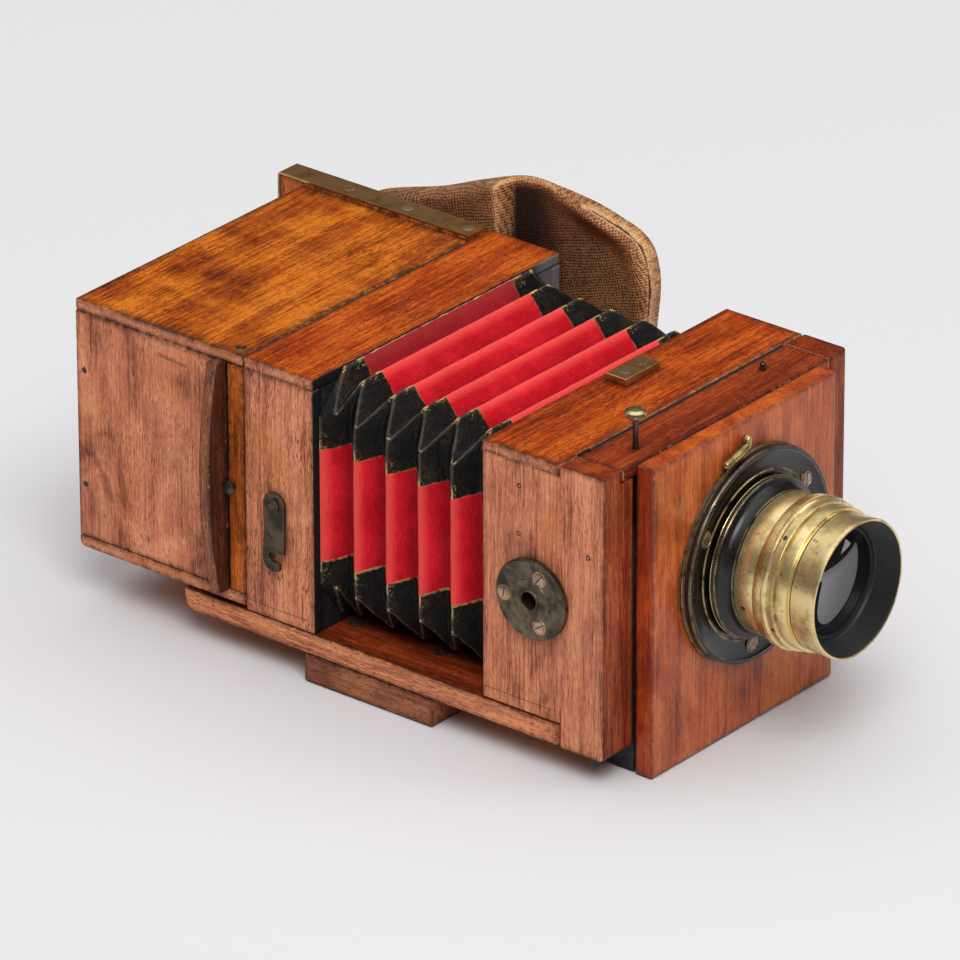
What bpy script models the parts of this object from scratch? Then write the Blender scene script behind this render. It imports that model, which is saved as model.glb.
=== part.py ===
"""Quarter-plate hand-and-stand view camera with a plate-changing box.

The lens points along -Y and +Z is up. The origin lies on the centre line, on the underside of the
tripod block. Left is -X and right is +X. Dimensions are in millimetres and are built in metres.
"""

from math import cos, pi, radians, sin

import bmesh
import bpy
from mathutils import Matrix, Vector

MM = 0.001
GAP = 0.3

# Overall body
BODY_HALF = 66.65
BODY_TOP = 114.9
BOARD = 4.2

# Baseboard and tripod block
BED_TOP = 18.9
BED_THICK = 7.9
BED_FRONT, BED_REAR = -62.1, 101.9
BED_CORNER = 5.0
BLOCK_FRONT, BLOCK_REAR = -8.0, 48.5
BUSH_Y = 20.0
GROOVE_HALF, GROOVE_DEPTH = 7.0, 3.2

# Front box
FRONT_HALF = 66.2
FRONT_TOP = 115.2
FRONT_REAR_Y = -29.8
POST_Y = -62.4
FRONT_Y = -81.4
SIDE_BOARD = 3.0
POST_WIDTH = 16.6
POST_BOTTOM = 10.6
TOP_RAIL_HALF = 56.0
SLOT_REAR, SLOT_FRONT = -61.5, -63.4
SIDE_BUSH_Y, SIDE_BUSH_Z = -52.25, 63.3
BOSS_HOLE = 6.3
SPARE_HOLE = (-19.3, -69.8)
RELEASE_X, RELEASE_Y = 35.2, -69.3

# Rear frame
REAR_FRONT_Y, REAR_BACK_Y = 43.4, 74.0
FRONT_PANEL, BACK_PANEL = 2.7, 3.0

# Changing box and its bag frame
BOX_FRONT_Y, BOX_BACK_Y = 74.6, 149.6
BOX_BOTTOM = 20.4
BOX_RIGHT = 54.1
BOX_CORNER = 2.6
STRIP_THICK = 6.8
SLIDE_Y = 83.2
BAG_FRAME_THICK = 9.6
BAG_FRAME_REAR, BAG_FRAME_TOP = 159.9, 115.8
RAIL_THICK = 0.7
RAIL_LEG = 42.0

# Bag
BAG_INNER, BAG_OUTER = 67.9, 79.5
BAG_RIM = [
    (142, 98), (133, 109.5), (104, 119.5), (86, 127), (66, 134), (50, 134), (35, 132.5), (24, 130), (15, 127),
    (9.5, 121.5), (7.2, 111), (8, 99), (10.5, 82), (17, 60), (30, 43), (60, 33), (100, 27), (124, 26), (139, 33),
    (146, 50),
]

# Lens panel
PANEL_HALF = 49.6
PANEL_THICK = 7.9
TONGUE_TOP = 90.0

# Lens
LENS_X, LENS_Z = 2.65, 65.4
FLANGE_RADIUS = 38.6
BARREL_RADIUS = 25.1
BORE_RADIUS = 18.0
HOOD_RADIUS = 24.7

# Shutter
KNOB_X, KNOB_Y = -39.7, -73.8
ROD_RADIUS = 1.0
BLADE_HOLE = 10.0
BLADE_TRAVEL = 22.0

# Side hook
HOOK_Y, HOOK_Z = 59.4, 64.3
HOOK_REACH = 19.75
HOOK_HALF_WIDTH = 4.3
HOOK_THICK = 1.5

# Bellows
BELLOWS_REAR, BELLOWS_FRONT = 43.1, -59.1
FIRST_SIDE_RIDGE, RIDGE_PITCH = 42.4, 13.9
TOP_HALF, UNDER_HALF = 50.3, 54.0
TOP_RIDGE_Z, UNDER_RIDGE_Z = 112.0, 21.6
SHOULDER_Z, FLANK_Z = 100.0, 34.0
SIDE_RIDGE_X = 63.9
FOLD_DEPTH = 8.5
WALL = 1.0

COLLECTION_NAME = "ViewCamera"
CUTTER_COLLECTION = "Cutters"

PALETTE = {
    "Mahogany": ((0.36, 0.13, 0.055), 0.42, 0.0),
    "PolishedMahogany": ((0.40, 0.12, 0.03), 0.22, 0.0),
    "FigureMahogany": ((0.46, 0.17, 0.03), 0.24, 0.0),
    "BlackenedWood": ((0.02, 0.02, 0.022), 0.6, 0.0),
    "AgedBrass": ((0.30, 0.22, 0.09), 0.38, 1.0),
    "BrightBrass": ((0.72, 0.52, 0.20), 0.2, 1.0),
    "BlackLacquer": ((0.02, 0.019, 0.018), 0.3, 0.6),
    "Steel": ((0.22, 0.2, 0.18), 0.35, 1.0),
    "BellowsCloth": ((0.5, 0.02, 0.03), 0.85, 0.0),
    "BagLeather": ((0.16, 0.08, 0.04), 0.7, 0.0),
    "Glass": ((0.03, 0.03, 0.035), 0.04, 0.0),
    "Ebonite": ((0.015, 0.014, 0.014), 0.4, 0.0),
    "PlateSheath": ((0.05, 0.05, 0.055), 0.45, 0.8),
}


# ---------------------------------------------------------------- scene and materials


def clear_scene():
    for old in list(bpy.data.objects):
        bpy.data.objects.remove(old, do_unlink=True)
    for old in list(bpy.data.collections):
        bpy.data.collections.remove(old)


def new_collection(name):
    collection = bpy.data.collections.new(name)
    bpy.context.scene.collection.children.link(collection)
    return collection


def material(name, look):
    colour, roughness, metallic = PALETTE[look]
    made = bpy.data.materials.new(name)
    made.use_nodes = True
    shader = made.node_tree.nodes["Principled BSDF"]
    shader.inputs["Base Color"].default_value = (*colour, 1.0)
    shader.inputs["Roughness"].default_value = roughness
    shader.inputs["Metallic"].default_value = metallic
    made.diffuse_color = (*colour, 1.0)
    return made


def finish(obj, name, look, smooth_angle=30.0):
    """Names the object, gives it its material and shades it smooth below an angle."""
    obj.name = name
    obj.data.name = name
    obj.data.materials.clear()
    obj.data.materials.append(material(name, look))
    if obj.type == "MESH" and smooth_angle:
        obj.data.shade_smooth()
        obj.data.set_sharp_from_angle(angle=radians(smooth_angle))
    return obj


def link(obj, collection_name=COLLECTION_NAME):
    bpy.data.collections[collection_name].objects.link(obj)
    return obj


# ---------------------------------------------------------------- shape makers


def block(name, low, high, look, rounding=0.5, segments=2):
    """A box between two corners, with rounded edges."""
    mesh = bpy.data.meshes.new(name)
    shape = bmesh.new()
    bmesh.ops.create_cube(shape, size=1.0)
    size = [(b - a) * MM for a, b in zip(low, high)]
    bmesh.ops.scale(shape, vec=size, verts=shape.verts)
    shape.to_mesh(mesh)
    shape.free()
    obj = link(bpy.data.objects.new(name, mesh))
    obj.location = [(a + b) / 2 * MM for a, b in zip(low, high)]
    if rounding:
        bevel = obj.modifiers.new("Edges", "BEVEL")
        bevel.width = rounding * MM
        bevel.segments = segments
    return finish(obj, name, look)


def cylinder(name, radius, depth, look, steps=32, radius_top=None):
    """A cylinder or cone on local Z, from z = 0 up to the depth."""
    mesh = bpy.data.meshes.new(name)
    shape = bmesh.new()
    top = radius if radius_top is None else radius_top
    place = Matrix.Translation((0, 0, depth * MM / 2))
    bmesh.ops.create_cone(
        shape, cap_ends=True, segments=steps, radius1=radius * MM, radius2=top * MM,
        depth=depth * MM, matrix=place,
    )
    shape.to_mesh(mesh)
    shape.free()
    return finish(link(bpy.data.objects.new(name, mesh)), name, look)


def turned(name, profile, look, steps=40):
    """A solid of revolution about local Z. The closed profile is (radius, z), its outer side running down."""
    mesh = bpy.data.meshes.new(name)
    points = [(radius * MM, 0, z * MM) for radius, z in profile]
    on_axis = profile[0][0] == 0 and profile[-1][0] == 0
    edges = [(i, i + 1) for i in range(len(points) - 1)]
    if not on_axis:
        edges.append((len(points) - 1, 0))
    mesh.from_pydata(points, edges, [])
    obj = link(bpy.data.objects.new(name, mesh))
    screw = obj.modifiers.new("Turn", "SCREW")
    screw.axis = "Z"
    screw.steps = screw.render_steps = steps
    screw.use_merge_vertices = True
    screw.merge_threshold = 0.00001
    screw.use_smooth_shade = True
    return finish(obj, name, look, smooth_angle=None)


def prism(name, outlines, axis, start, end, look, edge=0.0):
    """A flat outline, with any holes as further outlines, extruded along X, Y or Z between two places.

    Outline points are (y, z) for axis X, (x, z) for axis Y and (x, y) for axis Z.
    """
    curve = bpy.data.curves.new(name, "CURVE")
    curve.dimensions = "2D"
    curve.fill_mode = "BOTH"
    for outline in outlines:
        spline = curve.splines.new("POLY")
        spline.points.add(len(outline) - 1)
        for point, (u, v) in zip(spline.points, outline):
            point.co = (u * MM, v * MM, 0, 1)
        spline.use_cyclic_u = True
    curve.bevel_depth = edge * MM
    curve.bevel_resolution = 1
    curve.offset = -edge * MM
    curve.extrude = (end - start) / 2 * MM - edge * MM
    obj = link(bpy.data.objects.new(name, curve))
    middle = (start + end) / 2 * MM
    if axis == "X":
        obj.matrix_world = Matrix(((0, 0, 1, middle), (1, 0, 0, 0), (0, 1, 0, 0), (0, 0, 0, 1)))
    elif axis == "Y":
        obj.matrix_world = Matrix(((1, 0, 0, 0), (0, 0, -1, middle), (0, 1, 0, 0), (0, 0, 0, 1)))
    else:
        obj.matrix_world = Matrix.Translation((0, 0, middle))
    return finish(obj, name, look)


def as_mesh(obj):
    """Replaces a curve object by the mesh that it shows, its caps welded, so that it can be cut."""
    name, place, looks = obj.name, obj.matrix_world.copy(), list(obj.data.materials)
    graph = bpy.context.evaluated_depsgraph_get()
    mesh = bpy.data.meshes.new_from_object(obj.evaluated_get(graph))
    shape = bmesh.new()
    shape.from_mesh(mesh)
    bmesh.ops.remove_doubles(shape, verts=shape.verts, dist=0.000001)
    shape.to_mesh(mesh)
    shape.free()
    old = obj.data
    bpy.data.objects.remove(obj, do_unlink=True)
    bpy.data.curves.remove(old)
    made = link(bpy.data.objects.new(name, mesh))
    made.matrix_world = place
    mesh.materials.clear()
    for look in looks:
        mesh.materials.append(look)
    return made


def combine(obj, other, operation):
    """Cuts another shape from this one, or joins it on; the other becomes a hidden helper."""
    change = obj.modifiers.new(other.name, "BOOLEAN")
    change.operation = operation
    change.object = other
    change.solver = "EXACT"
    for holder in list(other.users_collection):
        holder.objects.unlink(other)
    link(other, CUTTER_COLLECTION)
    other.hide_render = True
    other.display_type = "WIRE"
    return obj


def rectangle(low, high):
    return [(low[0], low[1]), (high[0], low[1]), (high[0], high[1]), (low[0], high[1])]


def circle(centre, radius, steps=40, start=0.0):
    turn = [start + 2 * pi * i / steps for i in range(steps)]
    return [(centre[0] + radius * cos(a), centre[1] + radius * sin(a)) for a in turn]


def arc(centre, radius, first, last, steps):
    """Points on an arc between two angles in degrees."""
    turn = [radians(first + (last - first) * i / steps) for i in range(steps + 1)]
    return [(centre[0] + radius * cos(a), centre[1] + radius * sin(a)) for a in turn]


def place(obj, location, rotation=(0, 0, 0)):
    obj.location = [value * MM for value in location]
    obj.rotation_euler = rotation
    return obj


ALONG_LENS = (pi / 2, 0, 0)
TO_LEFT = (0, -pi / 2, 0)
TO_RIGHT = (0, pi / 2, 0)
DOWN = (pi, 0, 0)


# ---------------------------------------------------------------- base: baseboard, block and front box


def build_baseboard():
    """The bed, its rear lower corner rounded, with a groove for the rear frame's runner."""
    bottom = BED_TOP - BED_THICK
    corner = arc((BED_REAR - BED_CORNER, bottom + BED_CORNER), BED_CORNER, -90, 0, 6)
    outline = [(BED_FRONT, bottom), *corner, (BED_REAR, BED_TOP), (BED_FRONT, BED_TOP)]
    bed = as_mesh(prism("baseboard", [outline], "X", -BODY_HALF, BODY_HALF, "Mahogany", edge=0.4))
    groove = block(
        "baseboard_groove", (-GROOVE_HALF, -28.0, BED_TOP - GROOVE_DEPTH),
        (GROOVE_HALF, BED_REAR + 5, BED_TOP + 5), "Mahogany", rounding=0,
    )
    combine(bed, groove, "DIFFERENCE")


def bush(name, look):
    """A round plate with a low raised middle and a threaded boss behind it, bored on local Z, its face at z = 0."""
    plate, middle, boss, bore, thick, deep = 14.7, 7.8, 6.0, 3.25, 2.6, 6.2
    profile = [
        (bore, 0.1), (bore + 0.4, 0.3), (middle - 0.3, 0.3), (middle, 0), (plate - 0.6, 0), (plate, -0.5),
        (plate, -thick), (boss, -thick), (boss, -deep), (bore, -deep),
    ]
    return turned(name, profile, look, steps=36)


def build_block():
    bottom_of_bed = BED_TOP - BED_THICK
    piece = block(
        "tripod_block", (-BODY_HALF, BLOCK_FRONT, 0), (BODY_HALF, BLOCK_REAR, bottom_of_bed - GAP), "Mahogany",
        rounding=1.0,
    )
    profile = [(0, 9.0), (BOSS_HOLE, 9.0), (BOSS_HOLE, 3.3), (15.0, 3.3), (15.0, -1), (0, -1)]
    recess = turned("tripod_block_recess", profile, "Mahogany", steps=36)
    place(recess, (0, BUSH_Y, 0))
    combine(piece, recess, "DIFFERENCE")
    place(bush("block_bush", "AgedBrass"), (0, BUSH_Y, 0.4), DOWN)


def build_feet():
    for side, name in ((-1, "peg_left"), (1, "peg_right")):
        peg = cylinder(name, 2.6, 3.2, "BlackenedWood", steps=20, radius_top=2.2)
        place(peg, (side * (FRONT_HALF - 4.5), -75.5, POST_BOTTOM - GAP), DOWN)


def build_front_box():
    """Side boards on the baseboard, posts in front of them, a top board and the rail before the slot."""
    low = BED_TOP + GAP
    under_top = FRONT_TOP - BOARD - GAP
    for side, name in ((-1, "front_side_left"), (1, "front_side_right")):
        x = sorted((side * FRONT_HALF, side * (FRONT_HALF - SIDE_BOARD)))
        piece = block(name, (x[0], POST_Y + GAP, low), (x[1], FRONT_REAR_Y, under_top), "Mahogany")
        if side < 0:
            hole = cylinder("side_bush_hole", BOSS_HOLE, 12, "Mahogany", steps=36)
            place(hole, (-FRONT_HALF - 4, SIDE_BUSH_Y, SIDE_BUSH_Z), TO_RIGHT)
            combine(piece, hole, "DIFFERENCE")
    for side, name in ((-1, "front_post_left"), (1, "front_post_right")):
        outer, inner = side * FRONT_HALF, side * (FRONT_HALF - POST_WIDTH)
        step = side * (TOP_RAIL_HALF + GAP)
        outline = [(outer, POST_BOTTOM), (outer, FRONT_TOP), (step, FRONT_TOP), (step, under_top),
                   (inner, under_top), (inner, POST_BOTTOM)]
        prism(name, [outline], "Y", FRONT_Y, POST_Y, "Mahogany", edge=1.3)
    ends = POST_Y + GAP
    outline = [(-FRONT_HALF, ends), (-TOP_RAIL_HALF, ends), (-TOP_RAIL_HALF, SLOT_REAR), (TOP_RAIL_HALF, SLOT_REAR),
               (TOP_RAIL_HALF, ends), (FRONT_HALF, ends), (FRONT_HALF, FRONT_REAR_Y), (-FRONT_HALF, FRONT_REAR_Y)]
    prism("front_top_board", [outline], "Z", FRONT_TOP - BOARD, FRONT_TOP, "PolishedMahogany", edge=0.5)
    rail = block("front_top_rail", (-TOP_RAIL_HALF, FRONT_Y, FRONT_TOP - BOARD),
                 (TOP_RAIL_HALF, SLOT_FRONT, FRONT_TOP), "PolishedMahogany")
    for x, y, radius in ((KNOB_X, KNOB_Y, ROD_RADIUS + 0.3), (*SPARE_HOLE, 0.8), (RELEASE_X, RELEASE_Y, 1.3)):
        hole = cylinder(f"rail_hole_{round(x)}", radius, 12, "Mahogany", steps=16)
        place(hole, (x, y, FRONT_TOP - 8))
        combine(rail, hole, "DIFFERENCE")
    inner = FRONT_HALF - POST_WIDTH - GAP
    prism("shutter_board",
          [rectangle((-inner, low), (inner, under_top)), circle((LENS_X, LENS_Z), 16.5)[::-1]],
          "Y", -66.0, POST_Y - 0.6, "BlackenedWood")
    width = FRONT_HALF - SIDE_BOARD - GAP
    prism("bellows_front_frame",
          [rectangle((-width, low), (width, under_top)), rectangle((-46, 34), (46, 88))[::-1]],
          "Y", POST_Y + GAP, BELLOWS_FRONT - GAP, "BlackenedWood")


def build_side_bush():
    place(bush("side_bush", "AgedBrass"), (-FRONT_HALF - 2.9, SIDE_BUSH_Y, SIDE_BUSH_Z), TO_LEFT)


def build_finder_block():
    """The small brass block screwed to the top of the front box."""
    block("finder_block", (-5.2, -42.5, FRONT_TOP + GAP), (13.5, -33.4, FRONT_TOP + 3.0), "AgedBrass", rounding=0.4)


# ---------------------------------------------------------------- bellows


def bellows_ring(y, outward, inset):
    """Eight points of the folded cross-section at one place: outward is 1 on a side ridge and 0 on a top ridge."""
    forward = FIRST_SIDE_RIDGE - y
    top = TOP_RIDGE_Z - 0.07 * min(forward, 24) - FOLD_DEPTH * outward - inset
    bottom = UNDER_RIDGE_Z + FOLD_DEPTH * outward + inset
    side = SIDE_RIDGE_X - 0.028 * forward - FOLD_DEPTH * (1 - outward) - inset
    shoulder = SHOULDER_Z - 0.03 * forward - inset
    ring = [
        (-side, FLANK_Z), (-UNDER_HALF + inset, bottom), (UNDER_HALF - inset, bottom), (side, FLANK_Z),
        (side, shoulder), (TOP_HALF, top), (-TOP_HALF, top), (-side, shoulder),
    ]
    return [Vector((x * MM, y * MM, z * MM)) for x, z in ring]


def bellows_places():
    """Places of the folds from the rear frame to the front frame, each with its fold direction."""
    places = [(BELLOWS_REAR, 0.1), (FIRST_SIDE_RIDGE - 3.4, 0.75)]
    half = RIDGE_PITCH / 2
    y = FIRST_SIDE_RIDGE - half
    outward = 0.0
    while y > BELLOWS_FRONT + 2:
        places.append((y, outward))
        outward = 1.0 - outward
        y -= half
    places.append((BELLOWS_FRONT, 0.6))
    return places


def build_bellows():
    """A folded sleeve: an outer and an inner skin lofted through the same folds and joined at both ends."""
    shape = bmesh.new()
    skins = []
    for inset in (0.0, WALL):
        rings = [[shape.verts.new(p) for p in bellows_ring(y, out, inset)] for y, out in bellows_places()]
        skins.append(rings)
    outer, inner = skins
    count = 8
    for rings, flip in ((outer, False), (inner, True)):
        for first, second in zip(rings, rings[1:]):
            for i in range(count):
                j = (i + 1) % count
                face = (first[i], first[j], second[j], second[i])
                shape.faces.new(face[::-1] if flip else face)
    for index in (0, -1):
        for i in range(count):
            j = (i + 1) % count
            face = (outer[index][i], inner[index][i], inner[index][j], outer[index][j])
            shape.faces.new(face if index == 0 else face[::-1])
    bmesh.ops.triangulate(shape, faces=shape.faces)
    bmesh.ops.recalc_face_normals(shape, faces=shape.faces)
    mesh = bpy.data.meshes.new("bellows")
    shape.to_mesh(mesh)
    shape.free()
    finish(link(bpy.data.objects.new("bellows", mesh)), "bellows", "BellowsCloth", smooth_angle=None)


# ---------------------------------------------------------------- rear frame


def build_rear_frame():
    """Four boards round a blackened front panel and a light-trap panel, standing on the baseboard."""
    front, back = REAR_FRONT_Y, REAR_BACK_Y
    low, high = BED_TOP + GAP, BODY_TOP
    inner, under_top = BODY_HALF - BOARD - GAP, high - BOARD - GAP
    inside_front, inside_back = front + FRONT_PANEL + GAP, back - BACK_PANEL - GAP
    prism("rear_front_panel", [rectangle((-inner, low), (inner, under_top)), rectangle((-50, 32), (50, 102))[::-1]],
          "Y", front, front + FRONT_PANEL, "BlackenedWood")
    prism("rear_back_panel", [rectangle((-inner, low), (inner, under_top)), rectangle((-52, 28), (52, 107))[::-1]],
          "Y", back - BACK_PANEL, back, "BlackenedWood")
    block("rear_top", (-BODY_HALF, front, high - BOARD), (BODY_HALF, back, high), "PolishedMahogany", rounding=0.7)
    block("rear_bottom", (-inner, inside_front, low), (inner, inside_back, low + BOARD), "Mahogany")
    for side, name in ((-1, "rear_side_left"), (1, "rear_side_right")):
        x = sorted((side * BODY_HALF, side * (BODY_HALF - BOARD)))
        block(name, (x[0], front, low), (x[1], back, under_top), "Mahogany")
    block("guide_runner", (-GROOVE_HALF + 0.5, front + 2, BED_TOP - GROOVE_DEPTH + GAP),
          (GROOVE_HALF - 0.5, back - 2, BED_TOP), "AgedBrass", rounding=0.3)


def build_clamp():
    """A plate on the right side that reaches down past the baseboard, and the milled screw that pinches it."""
    x = BODY_HALF + GAP
    hole = circle((62.0, 15.0), 2.1, steps=20)
    prism("clamp_plate", [rectangle((54, 11.4), (70, 29)), hole[::-1]], "X", x, x + 1.8, "AgedBrass")
    head = [
        (0, 11.0), (5.0, 11.0), (5.6, 10.4), (5.6, 5.6), (5.0, 5.0), (3.0, 4.4), (3.0, 2.6), (1.8, 2.6), (1.8, 0.2),
        (0, 0.2),
    ]
    screw = turned("clamp_screw", head, "AgedBrass", steps=28)
    place(screw, (BODY_HALF + GAP, 62.0, 15.0), TO_RIGHT)


def hook_outline():
    """The hook hanging from its pivot at the origin, as (y, z): a rounded strap, a notch, and a curled finger."""
    reach, half = HOOK_REACH, HOOK_HALF_WIDTH
    notch_y = 0.84
    top = arc((0, 0), half + 0.3, 180, 0, 10)
    notch = arc((notch_y, -reach), 1.75, 90, -90, 8)
    finger = arc((0.4, -reach - 1.0), 4.6, 0, -125, 8)
    points = [*top, (half, -reach * 0.5), (half + 0.7, -reach), *finger]
    points += [(-2.0, -reach - 1.9), *reversed(notch), (-half, -reach + 1.75)]
    return points


def build_hook():
    strap = prism("side_hook", [hook_outline(), circle((0, 0), 1.7, steps=20)[::-1]], "X",
                  -HOOK_THICK / 2, HOOK_THICK / 2, "AgedBrass", edge=0.2)
    strap.matrix_world = Matrix.Translation(
        ((-BODY_HALF - 1.75) * MM, HOOK_Y * MM, HOOK_Z * MM)) @ strap.matrix_world
    profile = [(0, 4.1), (1.2, 4.1), (2.5, 3.3), (2.5, 2.8), (1.45, 2.8), (1.45, 0.3), (0, 0.3)]
    place(turned("hook_pivot", profile, "Steel", steps=20), (-BODY_HALF, HOOK_Y, HOOK_Z), TO_LEFT)
    place(turned("hook_pin", profile, "Steel", steps=20),
          (-BODY_HALF, HOOK_Y + HOOK_REACH, HOOK_Z + 0.84), TO_LEFT)


# ---------------------------------------------------------------- changing box


def build_changing_box():
    left, right = -BODY_HALF, BOX_RIGHT
    front, back = BOX_FRONT_Y, BOX_BACK_Y
    low, high = BOX_BOTTOM, BODY_TOP
    inner_low, inner_high = low + BOARD + GAP, high - BOARD - GAP
    block("box_top", (left, front, high - BOARD), (right, back, high), "FigureMahogany", rounding=0.7)
    corner = arc((back - BOX_CORNER, low + BOX_CORNER), BOX_CORNER, -90, 0, 6)
    outline = [(front, low), *corner, (back, low + BOARD), (front, low + BOARD)]
    prism("box_bottom", [outline], "X", left, right, "Mahogany", edge=0.4)
    block("box_side", (left, front + 12.2, inner_low), (left + BOARD, back, inner_high), "Mahogany")
    block("box_back", (left + BOARD + GAP, back - BOARD, inner_low), (right, back, inner_high), "Mahogany")
    prism("box_front_frame",
          [rectangle((left, inner_low), (right, inner_high)), rectangle((-54.5, 27.5), (49.5, 106.5))[::-1]],
          "Y", front, front + STRIP_THICK, "Mahogany", edge=0.3)


def grip_outline(inner):
    """The dark slide's bow-shaped grip, as (x, z), swelling away from the box between its ends."""
    low, high = 24.2, 111.2
    middle = (low + high) / 2
    reach = [(low + (high - low) * i / 12) for i in range(13)]
    bow = [(-BODY_HALF - 4.6 - 5.2 * cos((z - middle) / (high - low) * pi) ** 0.8, z) for z in reach]
    return [(inner, low), *bow, (inner, high)]


def build_dark_slide():
    low, high = 25.3, 110.0
    block("dark_slide", (-BODY_HALF - 0.2, SLIDE_Y - 0.9, low), (BOX_RIGHT - 3, SLIDE_Y + 0.9, high), "Ebonite",
          rounding=0.3)
    prism("slide_grip", [grip_outline(-BODY_HALF - 0.5)], "Y", SLIDE_Y - 1.4, SLIDE_Y + 3.3, "Mahogany", edge=0.7)


def build_plates():
    """The exposed holder in front, the stack of holders behind it, the pressure board and its leaf spring."""
    left, right = -BODY_HALF + BOARD + 1.0, BOX_RIGHT - 3.0
    low, high = BOX_BOTTOM + BOARD + 1.0, BODY_TOP - BOARD - 1.0
    block("plate_holder_front", (left, 86.0, low), (right, 88.6, high), "PlateSheath", rounding=0.4)
    block("plate_holder_stack", (left, 89.0, low), (right, 115.0, high), "PlateSheath", rounding=0.4)
    block("pressure_board", (left, 115.4, low), (right, 118.4, high), "Mahogany", rounding=0.4)
    middle_y, bow = 120.0, 8.5
    reach = [-38 + 76 * i / 16 for i in range(17)]
    back = [(x, middle_y + bow * (1 - (x / 38) ** 2) + 1.0) for x in reach]
    front = [(x, y - 1.0) for x, y in back]
    prism("pressure_spring", [[*front, *reversed(back)]], "Z", 60, 76, "Steel")


def build_bag_frame():
    """The frame on the right of the box that carries the bag, bound with brass along its top and rear edges."""
    x0, x1 = BOX_RIGHT + GAP, BOX_RIGHT + GAP + BAG_FRAME_THICK
    prism("bag_frame",
          [rectangle((BOX_FRONT_Y, BOX_BOTTOM), (BAG_FRAME_REAR, BAG_FRAME_TOP)),
           rectangle((92, 32), (142, 104))[::-1]],
          "X", x0, x1, "Mahogany", edge=0.3)
    top, rear, bend = BAG_FRAME_TOP + GAP, BAG_FRAME_REAR + GAP, 1.1
    outer = arc((rear + RAIL_THICK - bend, top + RAIL_THICK - bend), bend, 0, 90, 4)
    inner = arc((rear + RAIL_THICK - bend, top + RAIL_THICK - bend), bend - RAIL_THICK, 90, 0, 4)
    outline = [(rear, BAG_FRAME_TOP - RAIL_LEG), (rear + RAIL_THICK, BAG_FRAME_TOP - RAIL_LEG), *outer,
               (BOX_FRONT_Y - 0.4, top + RAIL_THICK), (BOX_FRONT_Y - 0.4, top), *inner]
    prism("bag_rail", [outline], "X", x0, x1, "AgedBrass")


def build_bag():
    prism("bag_collar",
          [rectangle((84, 26), (150, 110)), rectangle((94, 36), (140, 100))[::-1]],
          "X", BOX_RIGHT + GAP * 2 + BAG_FRAME_THICK, BAG_INNER - GAP, "BagLeather", edge=0.5)
    prism("changing_bag", [BAG_RIM[::-1]], "X", BAG_INNER, BAG_OUTER, "BagLeather", edge=3.0)


# ---------------------------------------------------------------- lens panel and lens


def build_lens_panel():
    half, radius = PANEL_HALF, 20.6
    outline = rectangle((-half, GAP), (half, FRONT_TOP))
    prism("lens_panel", [outline, circle((LENS_X, LENS_Z), radius)[::-1]], "Y",
          FRONT_Y - GAP - PANEL_THICK, FRONT_Y - GAP, "PolishedMahogany", edge=1.0)
    inner = half - GAP
    step, back, front = GAP + 0.6, -69.5, FRONT_Y + 0.2
    profile = [(front, step), (front, TONGUE_TOP), (front + 4.8, TONGUE_TOP), (front + 4.8, 9.6), (back, 9.6),
               (back, step)]
    tongue = as_mesh(prism("panel_tongue", [profile], "X", -inner, inner, "BlackenedWood"))
    hole = cylinder("tongue_hole", radius, 30, "BlackenedWood", steps=40)
    place(hole, (LENS_X, -60, LENS_Z), ALONG_LENS)
    combine(tongue, hole, "DIFFERENCE")


def on_lens_axis(obj):
    return place(obj, (LENS_X, 0, LENS_Z), ALONG_LENS)


def build_flange():
    """The locking ring with its lever, and the dished flange in front of it. Stations run forward from Y = 0."""
    ring = [(21.0, 91.2), (38.2, 91.2), (38.8, 90.6), (38.8, 89.9), (21.0, 89.9)]
    on_lens_axis(turned("lock_ring", ring, "BlackLacquer", steps=48))
    reach = arc((0, 0), 42.6, 94, 112, 8)
    back = arc((0, 0), 39.3, 112, 94, 8)
    lever = prism("lock_lever", [[*reach, *back]], "Y", -93.6, -90.0, "AgedBrass", edge=0.4)
    lever.matrix_world = Matrix.Translation((LENS_X * MM, 0, LENS_Z * MM)) @ lever.matrix_world
    dish = [
        (21.0, 92.9), (29.6, 92.9), (30.4, 93.0), (36.8, 94.1), (37.6, 94.3), (FLANGE_RADIUS, 93.4),
        (FLANGE_RADIUS, 91.5), (21.0, 91.5),
    ]
    on_lens_axis(turned("lens_flange", dish, "BlackLacquer", steps=48))


def build_mount():
    """The black mount: a tube through the panel with a knurled collar and a cone up to the barrel."""
    collar = [
        (BORE_RADIUS, 101.7), (25.2, 101.7), (25.6, 98.8), (26.6, 97.4), (28.0, 96.9), (28.5, 96.4), (28.5, 94.6),
        (20.3, 94.6), (20.3, 78.6), (BORE_RADIUS, 78.6),
    ]
    on_lens_axis(turned("lens_mount", collar, "BlackLacquer", steps=48))


def build_barrel():
    """The brass barrel, with a reduced seat that the iris ring turns on."""
    tube = [
        (BORE_RADIUS, 114.5), (23.8, 114.5), (23.8, 110.3), (24.7, 110.3), (BARREL_RADIUS, 109.9),
        (BARREL_RADIUS, 102.4), (24.7, 102.0), (BORE_RADIUS, 102.0),
    ]
    on_lens_axis(turned("lens_barrel", tube, "BrightBrass", steps=48))
    ring = [(24.1, 114.3), (26.2, 114.3), (26.6, 113.9), (26.6, 111.0), (26.2, 110.6), (24.1, 110.6)]
    on_lens_axis(turned("iris_ring", ring, "BrightBrass", steps=48))


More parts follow.
